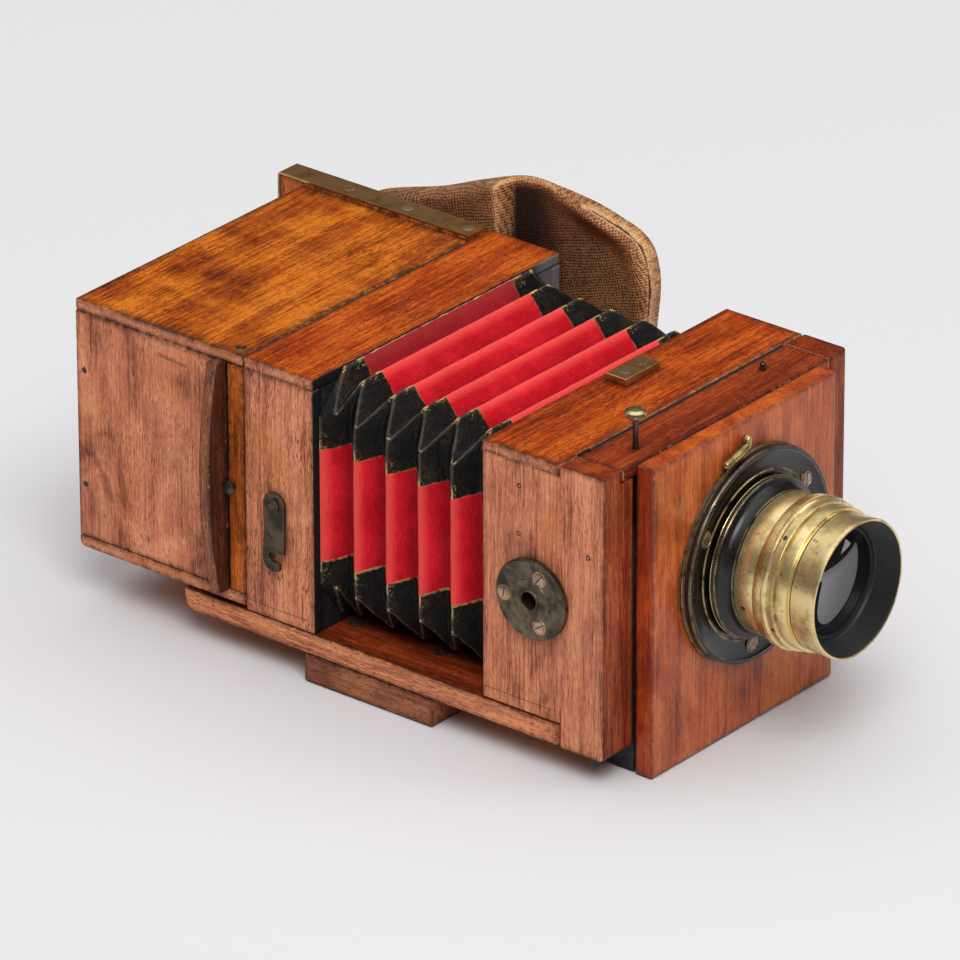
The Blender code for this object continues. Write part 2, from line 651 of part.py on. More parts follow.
def build_front_cell():
    cell = [
        (18.5, 125.0), (24.5, 125.0), (24.5, 124.2), (25.4, 124.0), (25.4, 120.0), (25.4, 119.9), (25.5, 119.3),
        (26.3, 119.1), (26.3, 116.2), (27.1, 115.9), (27.1, 114.8), (18.5, 114.8),
    ]
    on_lens_axis(turned("front_cell", cell, "BrightBrass", steps=48))
    hood = [
        (24.2, 135.3), (HOOD_RADIUS, 134.6), (HOOD_RADIUS, 133.3), (24.3, 125.3), (17.0, 125.3), (17.0, 126.6),
        (19.6, 127.4), (20.4, 130.4), (21.6, 130.8), (23.7, 135.0),
    ]
    on_lens_axis(turned("lens_hood", hood, "BrightBrass", steps=48))


def build_glass():
    """The front and rear glasses and the iris between them."""
    front = [(0, 124.6), (6, 124.3), (11, 123.4), (15, 122.0), (18.2, 120.4), (18.2, 117.5), (0, 117.5)]
    on_lens_axis(turned("front_glass", front, "Glass", steps=36))
    rear = [(0, 84.5), (17.6, 84.5), (17.6, 82.6), (14, 81.2), (8, 80.1), (0, 79.6)]
    on_lens_axis(turned("rear_glass", rear, "Glass", steps=36))
    iris = [(6.5, 113.0), (17.7, 112.6), (17.7, 111.6), (6.5, 112.4)]
    on_lens_axis(turned("iris_diaphragm", iris, "Ebonite", steps=36))


# ---------------------------------------------------------------- shutter


def build_shutter():
    """A knob on a thin rod lifts a blade whose hole comes in line with the lens."""
    knob = [(0, 4.3), (2.4, 4.1), (3.6, 3.4), (3.95, 2.5), (3.7, 1.6), (1.6, 0.0), (0, 0.0)]
    place(turned("shutter_knob", knob, "BrightBrass", steps=24), (KNOB_X, KNOB_Y, FRONT_TOP + 10.3))
    length, low, high, rear = 46.0, 28.9, 83.0, -69.5
    rod = cylinder("shutter_rod", ROD_RADIUS, length, "Steel", steps=20)
    place(rod, (KNOB_X, KNOB_Y, FRONT_TOP + 10.0 - length))
    foot = block("shutter_rod_foot", (KNOB_X - 3, KNOB_Y - 1.6, high - 5), (KNOB_X + 3, rear, high), "Steel")
    combine(rod, foot, "UNION")
    hole = circle((LENS_X, LENS_Z - BLADE_TRAVEL), BLADE_HOLE, steps=32)
    blade = [rectangle((-44, low), (46, high)), hole[::-1]]
    prism("shutter_blade", blade, "Y", rear + GAP, rear + GAP + 2.0, "Ebonite")


def build_release_pin():
    length = 10.2
    pin = [(0, length), (0.8, length), (1.0, length - 0.3), (1.0, 2.0), (2.2, 2.0), (2.2, 0), (0, 0)]
    place(turned("release_pin", pin, "AgedBrass", steps=16), (RELEASE_X, RELEASE_Y, FRONT_TOP + 2.5 - length))


def main():
    clear_scene()
    new_collection(COLLECTION_NAME)
    new_collection(CUTTER_COLLECTION)
    build_baseboard()
    build_block()
    build_feet()
    build_front_box()
    build_side_bush()
    build_finder_block()
    build_bellows()
    build_rear_frame()
    build_clamp()
    build_hook()
    build_changing_box()
    build_dark_slide()
    build_plates()
    build_bag_frame()
    build_bag()
    build_lens_panel()
    build_flange()
    build_mount()
    build_barrel()
    build_front_cell()
    build_glass()
    build_shutter()
    build_release_pin()


main()
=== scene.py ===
"""A small wooden view camera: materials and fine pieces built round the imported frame, with a studio."""

import math

import bmesh
import bpy
import numpy as np
from mathutils import Matrix, Vector, noise


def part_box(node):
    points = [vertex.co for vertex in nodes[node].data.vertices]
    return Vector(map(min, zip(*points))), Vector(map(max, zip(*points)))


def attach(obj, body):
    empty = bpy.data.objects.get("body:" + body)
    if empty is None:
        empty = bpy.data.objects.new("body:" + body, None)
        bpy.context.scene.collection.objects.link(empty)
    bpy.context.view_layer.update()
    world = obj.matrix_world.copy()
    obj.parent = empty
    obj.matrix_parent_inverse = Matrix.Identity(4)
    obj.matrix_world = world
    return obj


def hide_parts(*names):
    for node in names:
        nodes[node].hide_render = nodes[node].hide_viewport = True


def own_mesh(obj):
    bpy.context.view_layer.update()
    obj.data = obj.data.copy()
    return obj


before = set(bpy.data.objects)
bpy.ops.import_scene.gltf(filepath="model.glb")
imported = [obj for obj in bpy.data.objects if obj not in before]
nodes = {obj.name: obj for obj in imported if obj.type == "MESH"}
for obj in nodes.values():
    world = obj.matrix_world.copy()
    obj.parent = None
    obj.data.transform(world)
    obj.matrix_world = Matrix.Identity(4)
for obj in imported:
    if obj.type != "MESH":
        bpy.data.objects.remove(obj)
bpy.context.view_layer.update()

MM = 0.001
LX, LZ = 2.65, 65.4  # the lens axis, in millimetres

scene = bpy.context.scene
scene.view_settings.view_transform = "Standard"


# --- node materials


def rgb(r, g, b):
    """An sRGB colour from 0 to 255, as linear numbers."""
    def line(c):
        c /= 255
        return c / 12.92 if c <= 0.04045 else ((c + 0.055) / 1.055) ** 2.4
    return (line(r), line(g), line(b), 1.0)


class Value:
    """A number, colour or vector in a node tree: each sign adds one math node."""

    def __init__(self, look, socket):
        self.look, self.socket = look, socket

    def __add__(self, other):
        return self.look.math("ADD", self, other)

    def __radd__(self, other):
        return self.look.math("ADD", other, self)

    def __sub__(self, other):
        return self.look.math("SUBTRACT", self, other)

    def __rsub__(self, other):
        return self.look.math("SUBTRACT", other, self)

    def __mul__(self, other):
        return self.look.math("MULTIPLY", self, other)

    def __truediv__(self, other):
        return self.look.math("DIVIDE", self, other)


class Look:
    """Builds one node material. Positions are object coordinates in metres, which are the row frame's."""

    def __init__(self, name, roughness=0.5, metallic=0.0, coat=0.0, coat_roughness=0.1, ior=1.5):
        self.material = bpy.data.materials.new(name)
        self.material.use_nodes = True
        self.tree = self.material.node_tree
        self.shader = self.tree.nodes["Principled BSDF"]
        self.set("Roughness", roughness)
        self.set("Metallic", metallic)
        self.set("Coat Weight", coat)
        self.set("Coat Roughness", coat_roughness)
        self.set("IOR", ior)
        self.place = self.node("ShaderNodeTexCoord", out="Object")

    def feed(self, socket, value):
        if isinstance(value, Value):
            self.tree.links.new(value.socket, socket)
        else:
            socket.default_value = value

    def node(self, kind, inputs=(), out=0, **props):
        """One output of a new node. Its inputs are set in order, where None skips one, or by name."""
        node = self.tree.nodes.new(kind)
        for key, value in props.items():
            setattr(node, key, value)
        for key, value in inputs.items() if isinstance(inputs, dict) else enumerate(inputs):
            if value is not None:
                self.feed(node.inputs[key], value)
        return Value(self, node.outputs[out])

    def set(self, name, value):
        self.feed(self.shader.inputs[name], value)

    def math(self, op, a, b=0.0, c=None, clamp=False):
        return self.node("ShaderNodeMath", (a, b, c), operation=op, use_clamp=clamp)

    def fma(self, a, b, c):
        """a times b, plus c, in one node."""
        return self.math("MULTIPLY_ADD", a, b, c)

    def most(self, a, b):
        return self.math("MAXIMUM", a, b)

    def least(self, a, b):
        return self.math("MINIMUM", a, b)

    def step(self, value, low, high, to_low=0.0, to_high=1.0):
        """A smooth step of a value, between two levels."""
        return self.node("ShaderNodeMapRange", (value, low, high, to_low, to_high), interpolation_type="SMOOTHSTEP")

    def mix(self, share, a, b):
        """A mix of two colours."""
        return self.node("ShaderNodeMix", (share, *[None] * 5, a, b), out=2, data_type="RGBA")

    def blend(self, share, a, b):
        """A mix of two numbers."""
        return self.node("ShaderNodeMix", (share, None, a, b), data_type="FLOAT")

    def scaled(self, scale, place=None, offset=(0, 0, 0)):
        return self.node("ShaderNodeVectorMath", (place or self.place, scale, offset), operation="MULTIPLY_ADD")

    def split(self, place=None):
        first = self.node("ShaderNodeSeparateXYZ", (place or self.place,))
        return [Value(self, out) for out in first.socket.node.outputs]

    def join(self, x, y, z):
        return self.node("ShaderNodeCombineXYZ", (x, y, z))

    def noise(self, scale, detail=3.0, rough=0.5, twist=0.0, place=None, offset=(0, 0, 0)):
        """Noise from 0 to 1: the scale is one number, one for each axis, or a place that is scaled already."""
        if isinstance(scale, (int, float)):
            scale = (scale,) * 3
        where = scale if isinstance(scale, Value) else self.scaled(scale, place, offset)
        inputs = {"Vector": where, "Scale": 1.0, "Detail": detail, "Roughness": rough, "Distortion": twist}
        return self.node("ShaderNodeTexNoise", inputs)

    def attribute(self, name, out="Fac"):
        return self.node("ShaderNodeAttribute", out=out, attribute_name=name)

    def normal(self):
        return self.split(self.node("ShaderNodeTexCoord", out="Normal"))

    def rounded(self, radius, samples):
        """The surface normal, rounded over the edges."""
        return self.node("ShaderNodeBevel", {"Radius": radius}, samples=samples)

    def bump(self, height, distance, strength=1.0, base=None):
        inputs = {"Strength": strength, "Distance": distance, "Height": height, "Normal": base}
        self.set("Normal", self.node("ShaderNodeBump", inputs))

    def done(self, colour, rough, height, distance, strength):
        """Sets the colour, the roughness and the bump, and gives the material."""
        self.set("Base Color", colour)
        self.set("Roughness", rough)
        self.bump(height, distance, strength)
        return self.material

    def worn(self, radius, low=0.02, high=0.25):
        """1 on convex and concave edges within a radius, from the rounded normal."""
        true = self.node("ShaderNodeNewGeometry", out="Normal")
        both = (self.rounded(radius, 6), true)
        dot = self.node("ShaderNodeVectorMath", both, out="Value", operation="DOT_PRODUCT")
        return self.step(1.0 - dot, low, high)

    def off_axis(self):
        """How far a point is from the lens axis, to the right and up, in metres."""
        x, _, z = self.split()
        return x - LX * MM, z - LZ * MM

    def radius(self):
        """Distance from the lens axis, in millimetres."""
        a, b = self.off_axis()
        return self.math("SQRT", a * a + b * b) * 1000.0


def edge_distance(look, low, high):
    """Millimetres from a point on a board's face to the board's nearest edge: the middle one of its three gaps."""
    parts = look.split()
    a, b, c = (look.most(look.least(parts[i] - float(low[i]), float(high[i]) - parts[i]), 0.0) for i in range(3))
    return look.most(look.least(a, b), look.least(look.most(a, b), c)) * 1000.0


def tone(light, mid, dark, rough, glossy=True):
    """A wood's three colours, its roughness, and whether it is polished."""
    return dict(light=rgb(*light), mid=rgb(*mid), dark=rgb(*dark), rough=rough, glossy=glossy)


MATTE = tone((238, 160, 118), (210, 129, 94), (126, 66, 46), 0.6, glossy=False)
BED_EDGE = tone((246, 164, 114), (220, 136, 94), (140, 78, 54), 0.6, glossy=False)
POST_RED = tone((176, 90, 50), (136, 56, 26), (88, 28, 12), 0.36)
GLOSSY = tone((210, 102, 26), (168, 64, 12), (96, 28, 4), 0.34)
FIGURED = tone((218, 122, 30), (168, 76, 13), (96, 36, 5), 0.34)
DULL_RED = tone((172, 74, 28), (134, 48, 16), (88, 26, 8), 0.36)
FRONT_RED = tone((212, 114, 58), (178, 80, 32), (112, 40, 18), 0.34)
PANEL_SIDE = tone((196, 84, 30), (158, 54, 16), (98, 26, 8), 0.34)
BED_DARK = tone((164, 70, 34), (124, 46, 18), (80, 26, 8), 0.32)
BLOCK_BROWN = tone((178, 112, 76), (138, 82, 56), (84, 50, 38), 0.6, glossy=False)
STRIP = tone((226, 122, 46), (182, 88, 30), (96, 40, 14), 0.38)
GRIP_DARK = tone((112, 58, 34), (78, 38, 22), (40, 20, 14), 0.42)


def wood_tone(look, tone, grain, figure=0.35, pores=0.8, seed=0.0, blotch=0.0):
    """Colour of one wood: broad figure, fibres along the grain and short dark pores."""
    def stretch(cross, length):
        scale = [cross] * 3
        scale[grain] = length
        return look.scaled(tuple(scale), offset=(seed * 3.1, seed * 1.7, seed * 2.3))
    broad = look.noise(stretch(42, 24), detail=4, rough=0.55, twist=1.3)
    ribbon = look.noise(stretch(110, 7.0), detail=3, rough=0.6, twist=0.4)
    fibre = look.noise(stretch(1000, 40), detail=2, rough=0.6)
    fine = look.noise(stretch(2400, 300), detail=1.5, rough=0.6)
    level = broad * figure
    for part, share in ((ribbon, 0.40), (fibre, 0.42), (fine, 0.34)):
        level = look.fma(part, share, level)
    level = level / (figure + 1.16)
    if blotch:
        ripple = look.noise(stretch(50, 150), detail=3, rough=0.6, twist=0.9)
        patch = look.noise((30, 16, 30), detail=3, rough=0.55, twist=0.6, offset=(seed, 2.0, 5.0))
        hair = look.noise(stretch(1500, 60), detail=2, rough=0.6)
        for part, share in ((ripple, 0.12), (patch, 0.26), (hair, 0.24)):
            level = look.fma(part - 0.5, share * blotch, level)
    colour = look.mix(look.step(level, 0.38, 0.51), tone["dark"], tone["mid"])
    colour = look.mix(look.step(level, 0.48, 0.60), colour, tone["light"])
    dash = look.noise(stretch(2500, 420), detail=1.5, rough=0.55)
    pore = look.step(dash, 0.56, 0.64)
    streak = look.step(look.noise(stretch(620, 26), detail=2, rough=0.6, twist=0.2), 0.60, 0.72)
    colour = look.mix(streak * 0.36, colour, tone["dark"])
    crowd = look.step(look.noise(stretch(60, 40), detail=2), 0.3, 0.65, 0.35, 1.0)
    pore = pore * crowd * pores
    darker = look.mix(0.45, tone["dark"], (0.01, 0.005, 0.003, 1))
    colour = look.mix(pore, colour, darker)
    height = fibre * 0.4 - pore
    return colour, height


def stain(look, colour, along, spots):
    """Dark stains on a board. Each spot is (u, v, u, v, width), a segment in millimetres along two axes."""
    ragged = look.noise(330, detail=4, rough=0.65)
    total = None
    parts = look.split()
    u, v = (parts[axis] * 1000.0 for axis in along)
    for au, av, bu, bv, width in spots:
        du, dv = bu - au, bv - av
        length = du * du + dv * dv
        t = look.math("ADD", (u - au) * (du / length), (v - av) * (dv / length), clamp=True)
        pu = u - look.fma(t, du, au)
        pv = v - look.fma(t, dv, av)
        away = look.math("SQRT", pu * pu + pv * pv)
        away = look.fma(ragged - 0.5, width * 3.0, away)
        mask = look.step(away, width * 0.1, width * 1.5, 1.0, 0.0)
        total = mask if total is None else look.most(total, mask)
    return look.mix(total * 0.45, colour, (0.022, 0.010, 0.007, 1))


def wood(node, grain, side=MATTE, top=None, front=None, figure=0.35, grime=0.8, paint=None, seed=None, span=None,
         stains=(), top_reach=1.0, pores=0.8, outline=False):
    """A board's material: its tone follows the way each face looks, with dirt along its edges."""
    low, high = (np.array(p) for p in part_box(node))
    if span:
        low, high = np.minimum(low, np.array(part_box(span)[0])), np.maximum(high, np.array(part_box(span)[1]))
    look = Look(f"{node}_wood", ior=1.45)
    seed = sum(map(ord, node)) % 97 / 7.0 if seed is None else seed
    colour, height = wood_tone(look, side, grain, figure, pores, seed=seed)
    if side is MATTE:
        hue = look.noise((26, 26, 20), detail=4, rough=0.6, twist=0.8, offset=(seed, seed, 0))
        colour = look.mix(look.step(hue, 0.50, 0.68, 0.0, 0.42), colour, rgb(204, 124, 58))
        colour = look.mix(look.step(hue, 0.34, 0.50, 0.24, 0.0), colour, rgb(140, 80, 76))
    rough = side["rough"]
    _, ny, nz = look.normal()
    facing_up = look.step(nz, 0.45, 0.75)
    for tone, facing in ((top, nz), (front, ny * -1.0)):
        if tone is None:
            continue
        share = look.step(facing, 0.45, 0.75)
        blotch = 1.0 if tone is FIGURED else 0.35
        other, _ = wood_tone(look, tone, grain, figure, pores * 0.95, seed, blotch)
        colour = look.mix(share, colour, other)
        rough = look.blend(share, rough, tone["rough"])
    edge = edge_distance(look, low, high)
    ragged = look.noise(300, detail=4, rough=0.65)
    wide = look.blend(facing_up, 2.6, 5.2 * top_reach)
    near = look.math("SUBTRACT", 1.0, edge / wide, clamp=True)
    near = look.math("POWER", near, 1.6) * look.step(ragged, 0.3, 0.62, 0.25, 1.25)
    line = look.step(edge, 0.25, 0.85, 1.0, 0.0) * look.step(ragged, 0.34, 0.54, 0.25, 0.9)
    blots = look.step(look.noise(52, detail=6, rough=0.72, offset=(seed, 0, 0)), 0.54, 0.72)
    dirt = look.most(look.most(near, line), blots * 0.5)
    if outline:
        dirt = look.most(dirt, look.worn(0.0009, 0.01, 0.12) * 0.8)
    dirt = look.math("MULTIPLY", dirt, grime * 0.85, clamp=True)
    colour = look.mix(dirt, colour, (0.028, 0.011, 0.006, 1))
    patches = look.noise(75, detail=3, offset=(0, seed, 0))
    chips = look.step(look.noise(500, detail=3), 0.5, 0.62) * look.step(patches, 0.5, 0.62)
    bare = look.step(edge, 0.3, 0.8, 1.0, 0.0) * chips * (1.0 - facing_up)
    colour = look.mix(bare * 0.55, colour, rgb(206, 146, 104))
    if stains:
        colour = stain(look, colour, *stains)
    if paint:
        axis, before = paint
        share = look.step(look.split()[axis], before - 0.00015, before + 0.00015, 1.0, 0.0)
        # Blackened ahead of a place, with a painted sheen going grey towards the right edge.
        colour = look.mix(share, colour, look.mix(painted_sheen(look), (0.008, 0.008, 0.009, 1), PAINTED_SHEEN_GREY))
    look.set("Base Color", colour)
    smear = look.noise(60, detail=4, rough=0.6)
    rough = rough + look.step(smear, 0.35, 0.7, -0.06, 0.14)
    look.set("Roughness", rough)
    look.set("Specular IOR Level", 0.5 if front is FRONT_RED else 0.2)
    if top or front or side["glossy"]:
        look.set("Coat Weight", 0.07)
        look.set("Coat Roughness", 0.12)
    look.bump(height, 0.00016, 0.55, base=look.rounded(0.0013, 4))
    give(nodes[node], look.material)


def give(obj, material):
    obj.data.materials.clear()
    obj.data.materials.append(material)


# The grey of a painted sheen, where the blackened wood would reflect light.
PAINTED_SHEEN_GREY = (0.19, 0.18, 0.178, 1)


def painted_sheen(look):
    """Painted sheen of reflected light: the blackened wood goes grey towards its right edge, as the photograph
    shows.
    """
    return look.step(look.split()[0], 0.048, 0.060)


def black_wood(name):
    look = Look(name)
    dust = look.noise(500, detail=4)
    wear = look.noise((70, 70, 30), detail=4, rough=0.65)
    colour = look.mix(look.step(dust, 0.45, 0.75), (0.006, 0.006, 0.007, 1), (0.022, 0.022, 0.023, 1))
    colour = look.mix(look.step(wear, 0.58, 0.75, 0.0, 0.35), colour, (0.07, 0.07, 0.07, 1))
    # Painted sheen: grey towards the right edge, broken up by the wear.
    colour = look.mix(painted_sheen(look) * look.step(wear, 0.3, 0.6, 0.6, 1.0), colour, PAINTED_SHEEN_GREY)
    return look.done(colour, 0.55, dust, 0.0001, 0.4)


def lathe_rings(look):
    """The fine rings of turned metal: noise that changes only along the lens axis."""
    return look.noise(look.join(0.0, look.split()[1] * 9000.0, 0.0), detail=2)


def brass(name, base, dark, bright, rough=0.35, wear=0.6, metallic=0.9, turned=False):
    """Brass with blotched patina, bare bright edges and, on turned pieces, fine rings."""
    look = Look(name, metallic=metallic)
    patches = look.noise(150, detail=5, rough=0.6, twist=0.4)
    spots = look.noise(700, detail=2)
    colour = look.mix(look.step(patches, 0.35, 0.62), dark, base)
    colour = look.mix(look.step(spots, 0.62, 0.72, 0.0, 0.5), colour, dark)
    colour = look.mix(look.worn(0.0005) * wear, colour, bright)
    height = look.fma(lathe_rings(look), 0.6, spots * 0.3) if turned else spots
    return look.done(colour, look.step(patches, 0.3, 0.7, rough + 0.08, rough - 0.06), height, 0.00003, 0.5)


# --- mesh makers


def mesh_object(name, points, faces, material, body, angle=None, smooth=True, fix=True, attributes=()):
    """Points in millimetres of the row frame. Edges over the angle are sharp, and attributes are kept per point."""
    mesh = bpy.data.meshes.new(name)
    mesh.from_pydata([Vector(p) * MM for p in points], [], faces)
    mesh.validate()
    for key, values in attributes:
        layer = mesh.attributes.new(key, "FLOAT", "POINT")
        layer.data.foreach_set("value", np.array(values, np.float32).reshape(-1))
    obj = bpy.data.objects.new(name, mesh)
    scene.collection.objects.link(obj)
    mesh.materials.append(material)
    if smooth:
        mesh.shade_smooth()
        if angle:
            mesh.set_sharp_from_angle(angle=math.radians(angle))
    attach(obj, body)
    if fix:
        fix_normals(obj)
    return obj


def grid_faces(rows, columns, loop=True, ring=True, flip=False):
    """The faces between rows of points. loop joins the last row to the first, and ring closes each row."""
    faces = []
    for i in range(rows if loop else rows - 1):
        for k in range(columns if ring else columns - 1):
            j, m = (i + 1) % rows, (k + 1) % columns
            face = (i * columns + k, j * columns + k, j * columns + m, i * columns + m)
            faces.append((face[0], *face[:0:-1]) if flip else face)
    return faces


def between(p0, p1, p2, p3, t):
    """A Catmull-Rom curve's point, a share t of the way from p1 to p2."""
    return 0.5 * ((2 * p1) + (p2 - p0) * t + (2 * p0 - 5 * p1 + 4 * p2 - p3) * t * t
                  + (3 * p1 - p0 - 3 * p2 + p3) * t ** 3)


def revolved(name, profile, material, body, steps=128, teeth=0, depth=0.0, angle=35.0):
    """A closed (radius, y) profile turned about the lens axis. A third number in a point scales the teeth there."""
    points = []
    columns = teeth * 4 if teeth else steps
    for i in range(columns):
        a = 2 * math.pi * i / columns
        wave = (0.0, 1.0, 1.0, 0.0)[i % 4] if teeth else 0.0
        for r, y, *share in profile:
            if share:
                r -= depth * wave * share[0]
            points.append((LX + r * math.cos(a), y, LZ + r * math.sin(a)))
    return mesh_object(name, points, grid_faces(columns, len(profile), flip=True), material, body, angle)


def fix_normals(obj):
    shape = bmesh.new()
    shape.from_mesh(obj.data)
    bmesh.ops.remove_doubles(shape, verts=shape.verts, dist=1e-7)
    bmesh.ops.recalc_face_normals(shape, faces=shape.faces)
    shape.to_mesh(obj.data)
    shape.free()


def basis(normal, turn=0.0):
    """A matrix whose Z is the normal, turned about it."""
    n = Vector(normal).normalized()
    side = Vector((0, 0, 1)) if abs(n.z) < 0.9 else Vector((0, 1, 0))
    x = side.cross(n).normalized()
    y = n.cross(x)
    return Matrix((x, y, n)).transposed() @ Matrix.Rotation(turn, 3, "Z")


def screw_head(name, at, normal, radius, turn, material, body, proud=0.25, slot=0.22):
    """A slotted screw head: two raised halves with a dished edge, and the slot's floor between them."""
    place = basis(normal, turn)
    points, faces = [], []
    half = radius * slot / 2 * 1.1
    first = math.asin(half / radius)
    def add(*p):
        points.append(Vector(at) + place @ Vector(p))
        return len(points) - 1
    for side in (1, -1):
        arc = [first + (math.pi - 2 * first) * i / 16 for i in range(17)]
        rim = [(radius * math.cos(a), side * radius * math.sin(a)) for a in arc]
        rows = [[add(x * shrink, side * max(abs(y) * shrink, half), height) for x, y in rim]
                for shrink, height in ((1.0, -0.3), (1.0, proud * 0.55), (0.93, proud * 0.9), (0.8, proud))]
        made = []
        for a, b in zip(rows, rows[1:]):
            made += [(a[i], a[i + 1], b[i + 1], b[i]) for i in range(16)] + [(a[16], a[0], b[0], b[16])]
        faces += [face[::side] for face in (*made, tuple(rows[-1]))]
    inner, low = radius * 0.96, proud - radius * 0.28
    turns = [2 * math.pi * i / 24 for i in range(24)]
    faces.append(tuple(add(inner * math.cos(a), inner * math.sin(a), low) for a in turns))
    return mesh_object(name, points, faces, material, body, 40, fix=False)


def lathe_at(name, profile, at, normal, material, body, steps=32):
    """A (radius, height) profile turned about an axis through a point; its ends close on the axis."""
    place = basis(normal)
    points = []
    for i in range(steps):
        a = 2 * math.pi * i / steps
        points += [Vector(at) + place @ Vector((r * math.cos(a), r * math.sin(a), h)) for r, h in profile]
    return mesh_object(name, points, grid_faces(steps, len(profile), ring=False), material, body, 40)


def ribbon(name, path, widths, normal, material, body):
    """A thin strip lying on a face along a path, for a scratch or a joint line. widths is one number or a list."""
    n = Vector(normal).normalized()
    lift = n * 0.03
    points = []
    path = [Vector(p) for p in path]
    for i, p in enumerate(path):
        ahead = (path[min(i + 1, len(path) - 1)] - path[max(i - 1, 0)]).normalized()
        across = n.cross(ahead).normalized()
        w = widths[i] if isinstance(widths, list) else widths
        points += [p + across * w / 2 + lift, p - across * w / 2 + lift]
    faces = [(2 * i, 2 * i + 2, 2 * i + 3, 2 * i + 1) for i in range(len(path) - 1)]
    return mesh_object(name, points, faces, material, body, smooth=False, fix=False)


def swept(name, path, half_wide, half_deep, material, body, steps=14):
    """A rounded bar along (x, y, z) points of one y, tapering to round ends."""
    path = [Vector(p) for p in path]
    fine = []
    for i in range(len(path) - 1):
        ends = path[max(i - 1, 0)], path[i], path[i + 1], path[min(i + 2, len(path) - 1)]
        fine += [between(*ends, k / 6) for k in range(6)]
    fine.append(path[-1])
    points = []
    total = len(fine)
    for i, p in enumerate(fine):
        ahead = (fine[min(i + 1, total - 1)] - fine[max(i - 1, 0)]).normalized()
        across = Vector((0, 1, 0)).cross(ahead).normalized()
        end = min(i, total - 1 - i) / 2.5
        size = math.sqrt(max(0.02, 1 - (1 - min(end, 1)) ** 2))
        for k in range(steps):
            a = 2 * math.pi * k / steps
            c, d = math.cos(a), math.sin(a)
            square = 1 / max(abs(c), abs(d)) ** 0.5
            deep = Vector((0, d * half_deep * size * square, 0))
            points.append(p + across * c * half_wide * size * square + deep)
    faces = grid_faces(total, steps, loop=False)
    faces += [tuple(range(steps)), tuple(range(total * steps - 1, (total - 1) * steps - 1, -1))]
    return mesh_object(name, points, faces, material, body, 50)


# --- materials in use

AGED = brass("aged_brass", (0.54, 0.29, 0.105, 1), (0.25, 0.125, 0.045, 1), (0.95, 0.70, 0.36, 1), 0.36, wear=0.8)
LEVER_BRASS = brass("lever_brass", (0.44, 0.30, 0.12, 1), (0.20, 0.135, 0.05, 1), (0.86, 0.68, 0.36, 1), rough=0.28)
DARK_BRONZE = brass("dark_bronze", (0.165, 0.130, 0.080, 1), (0.042, 0.037, 0.031, 1), (0.50, 0.42, 0.27, 1), 0.40,
                    wear=0.9)
HOOK_BRASS = brass("hook_brass", (0.115, 0.094, 0.058, 1), (0.048, 0.041, 0.030, 1), (0.60, 0.47, 0.26, 1), 0.52)
BRIGHT = brass("bright_brass", (0.76, 0.58, 0.27, 1), (0.50, 0.38, 0.16, 1), (0.92, 0.80, 0.52, 1), rough=0.26,
               wear=0.5, metallic=1.0, turned=True)
KNOB_BRASS = brass("knob_brass", (0.62, 0.50, 0.26, 1), (0.36, 0.27, 0.12, 1), (0.9, 0.76, 0.46, 1), rough=0.22)
SCREW_PINK = brass("screw_copper", (0.56, 0.40, 0.30, 1), (0.26, 0.17, 0.12, 1), (0.80, 0.62, 0.48, 1), rough=0.36)
SCREW_GREY = brass("screw_grey", (0.40, 0.34, 0.26, 1), (0.15, 0.12, 0.09, 1), (0.70, 0.60, 0.46, 1), rough=0.36)
DARK_STEEL = brass("dark_steel", (0.12, 0.11, 0.10, 1), (0.045, 0.040, 0.036, 1), (0.35, 0.32, 0.28, 1), rough=0.34)
BLACKED = black_wood("blackened_wood")


def lacquer():
    """Black lacquer on brass: worn through to brass on its edges, with faint rubbed patches."""
    look = Look("black_lacquer", coat=0.15, coat_roughness=0.2)
    rub = look.noise(90, detail=5, rough=0.65)
    speck = look.noise(900, detail=2)
    edge = look.worn(0.0009, 0.010, 0.09)
    edge = edge * look.step(look.noise(240, detail=3), 0.32, 0.55)
    colour = look.mix(look.step(rub, 0.48, 0.78), (0.004, 0.0035, 0.003, 1), (0.016, 0.012, 0.009, 1))
    colour = look.mix(look.step(speck, 0.66, 0.74, 0.0, 0.35), colour, (0.16, 0.13, 0.08, 1))
    colour = look.mix(edge, colour, (0.55, 0.42, 0.20, 1))
    look.set("Metallic", edge)
    look.set("Specular IOR Level", 0.40)
    return look.done(colour, look.step(rub, 0.35, 0.7, 0.26, 0.4), speck, 0.00003, 0.4)


LACQUER = lacquer()


def hood_look(name, limit):
    """Bright brass outside a radius, matt black within it."""
    look = Look(name, metallic=1.0)
    patches = look.noise(150, detail=5, rough=0.6)
    inside = look.step(look.radius(), limit - 0.08, limit + 0.08, 1.0, 0.0)
    dots = look.step(look.noise(420, detail=3, rough=0.6), 0.64, 0.70)
    colour = look.mix(look.step(patches, 0.36, 0.54), (0.50, 0.38, 0.17, 1), (0.80, 0.62, 0.29, 1))
    colour = look.mix(dots * 0.7, colour, (0.16, 0.11, 0.05, 1))
    colour = look.mix(inside, colour, (0.006, 0.006, 0.006, 1))
    look.set("Metallic", look.blend(inside, 0.8, 0.0))
    rough = look.blend(inside, look.step(patches, 0.3, 0.7, 0.34, 0.2), 0.5)
    return look.done(colour, rough, lathe_rings(look), 0.00003, 0.5)


def plain(name, colour, rough=0.5, metallic=0.0, coat=0.0):
    """An even surface with a fine mottle."""
    look = Look(name, metallic=metallic, coat=coat)
    spots = look.noise(600.0, detail=4)
    darker, lighter = ((*(c * share for c in colour[:3]), 1) for share in (0.75, 1.25))
    return look.done(look.mix(look.step(spots, 0.35, 0.65), darker, lighter), rough, spots, 0.00005, 0.4)


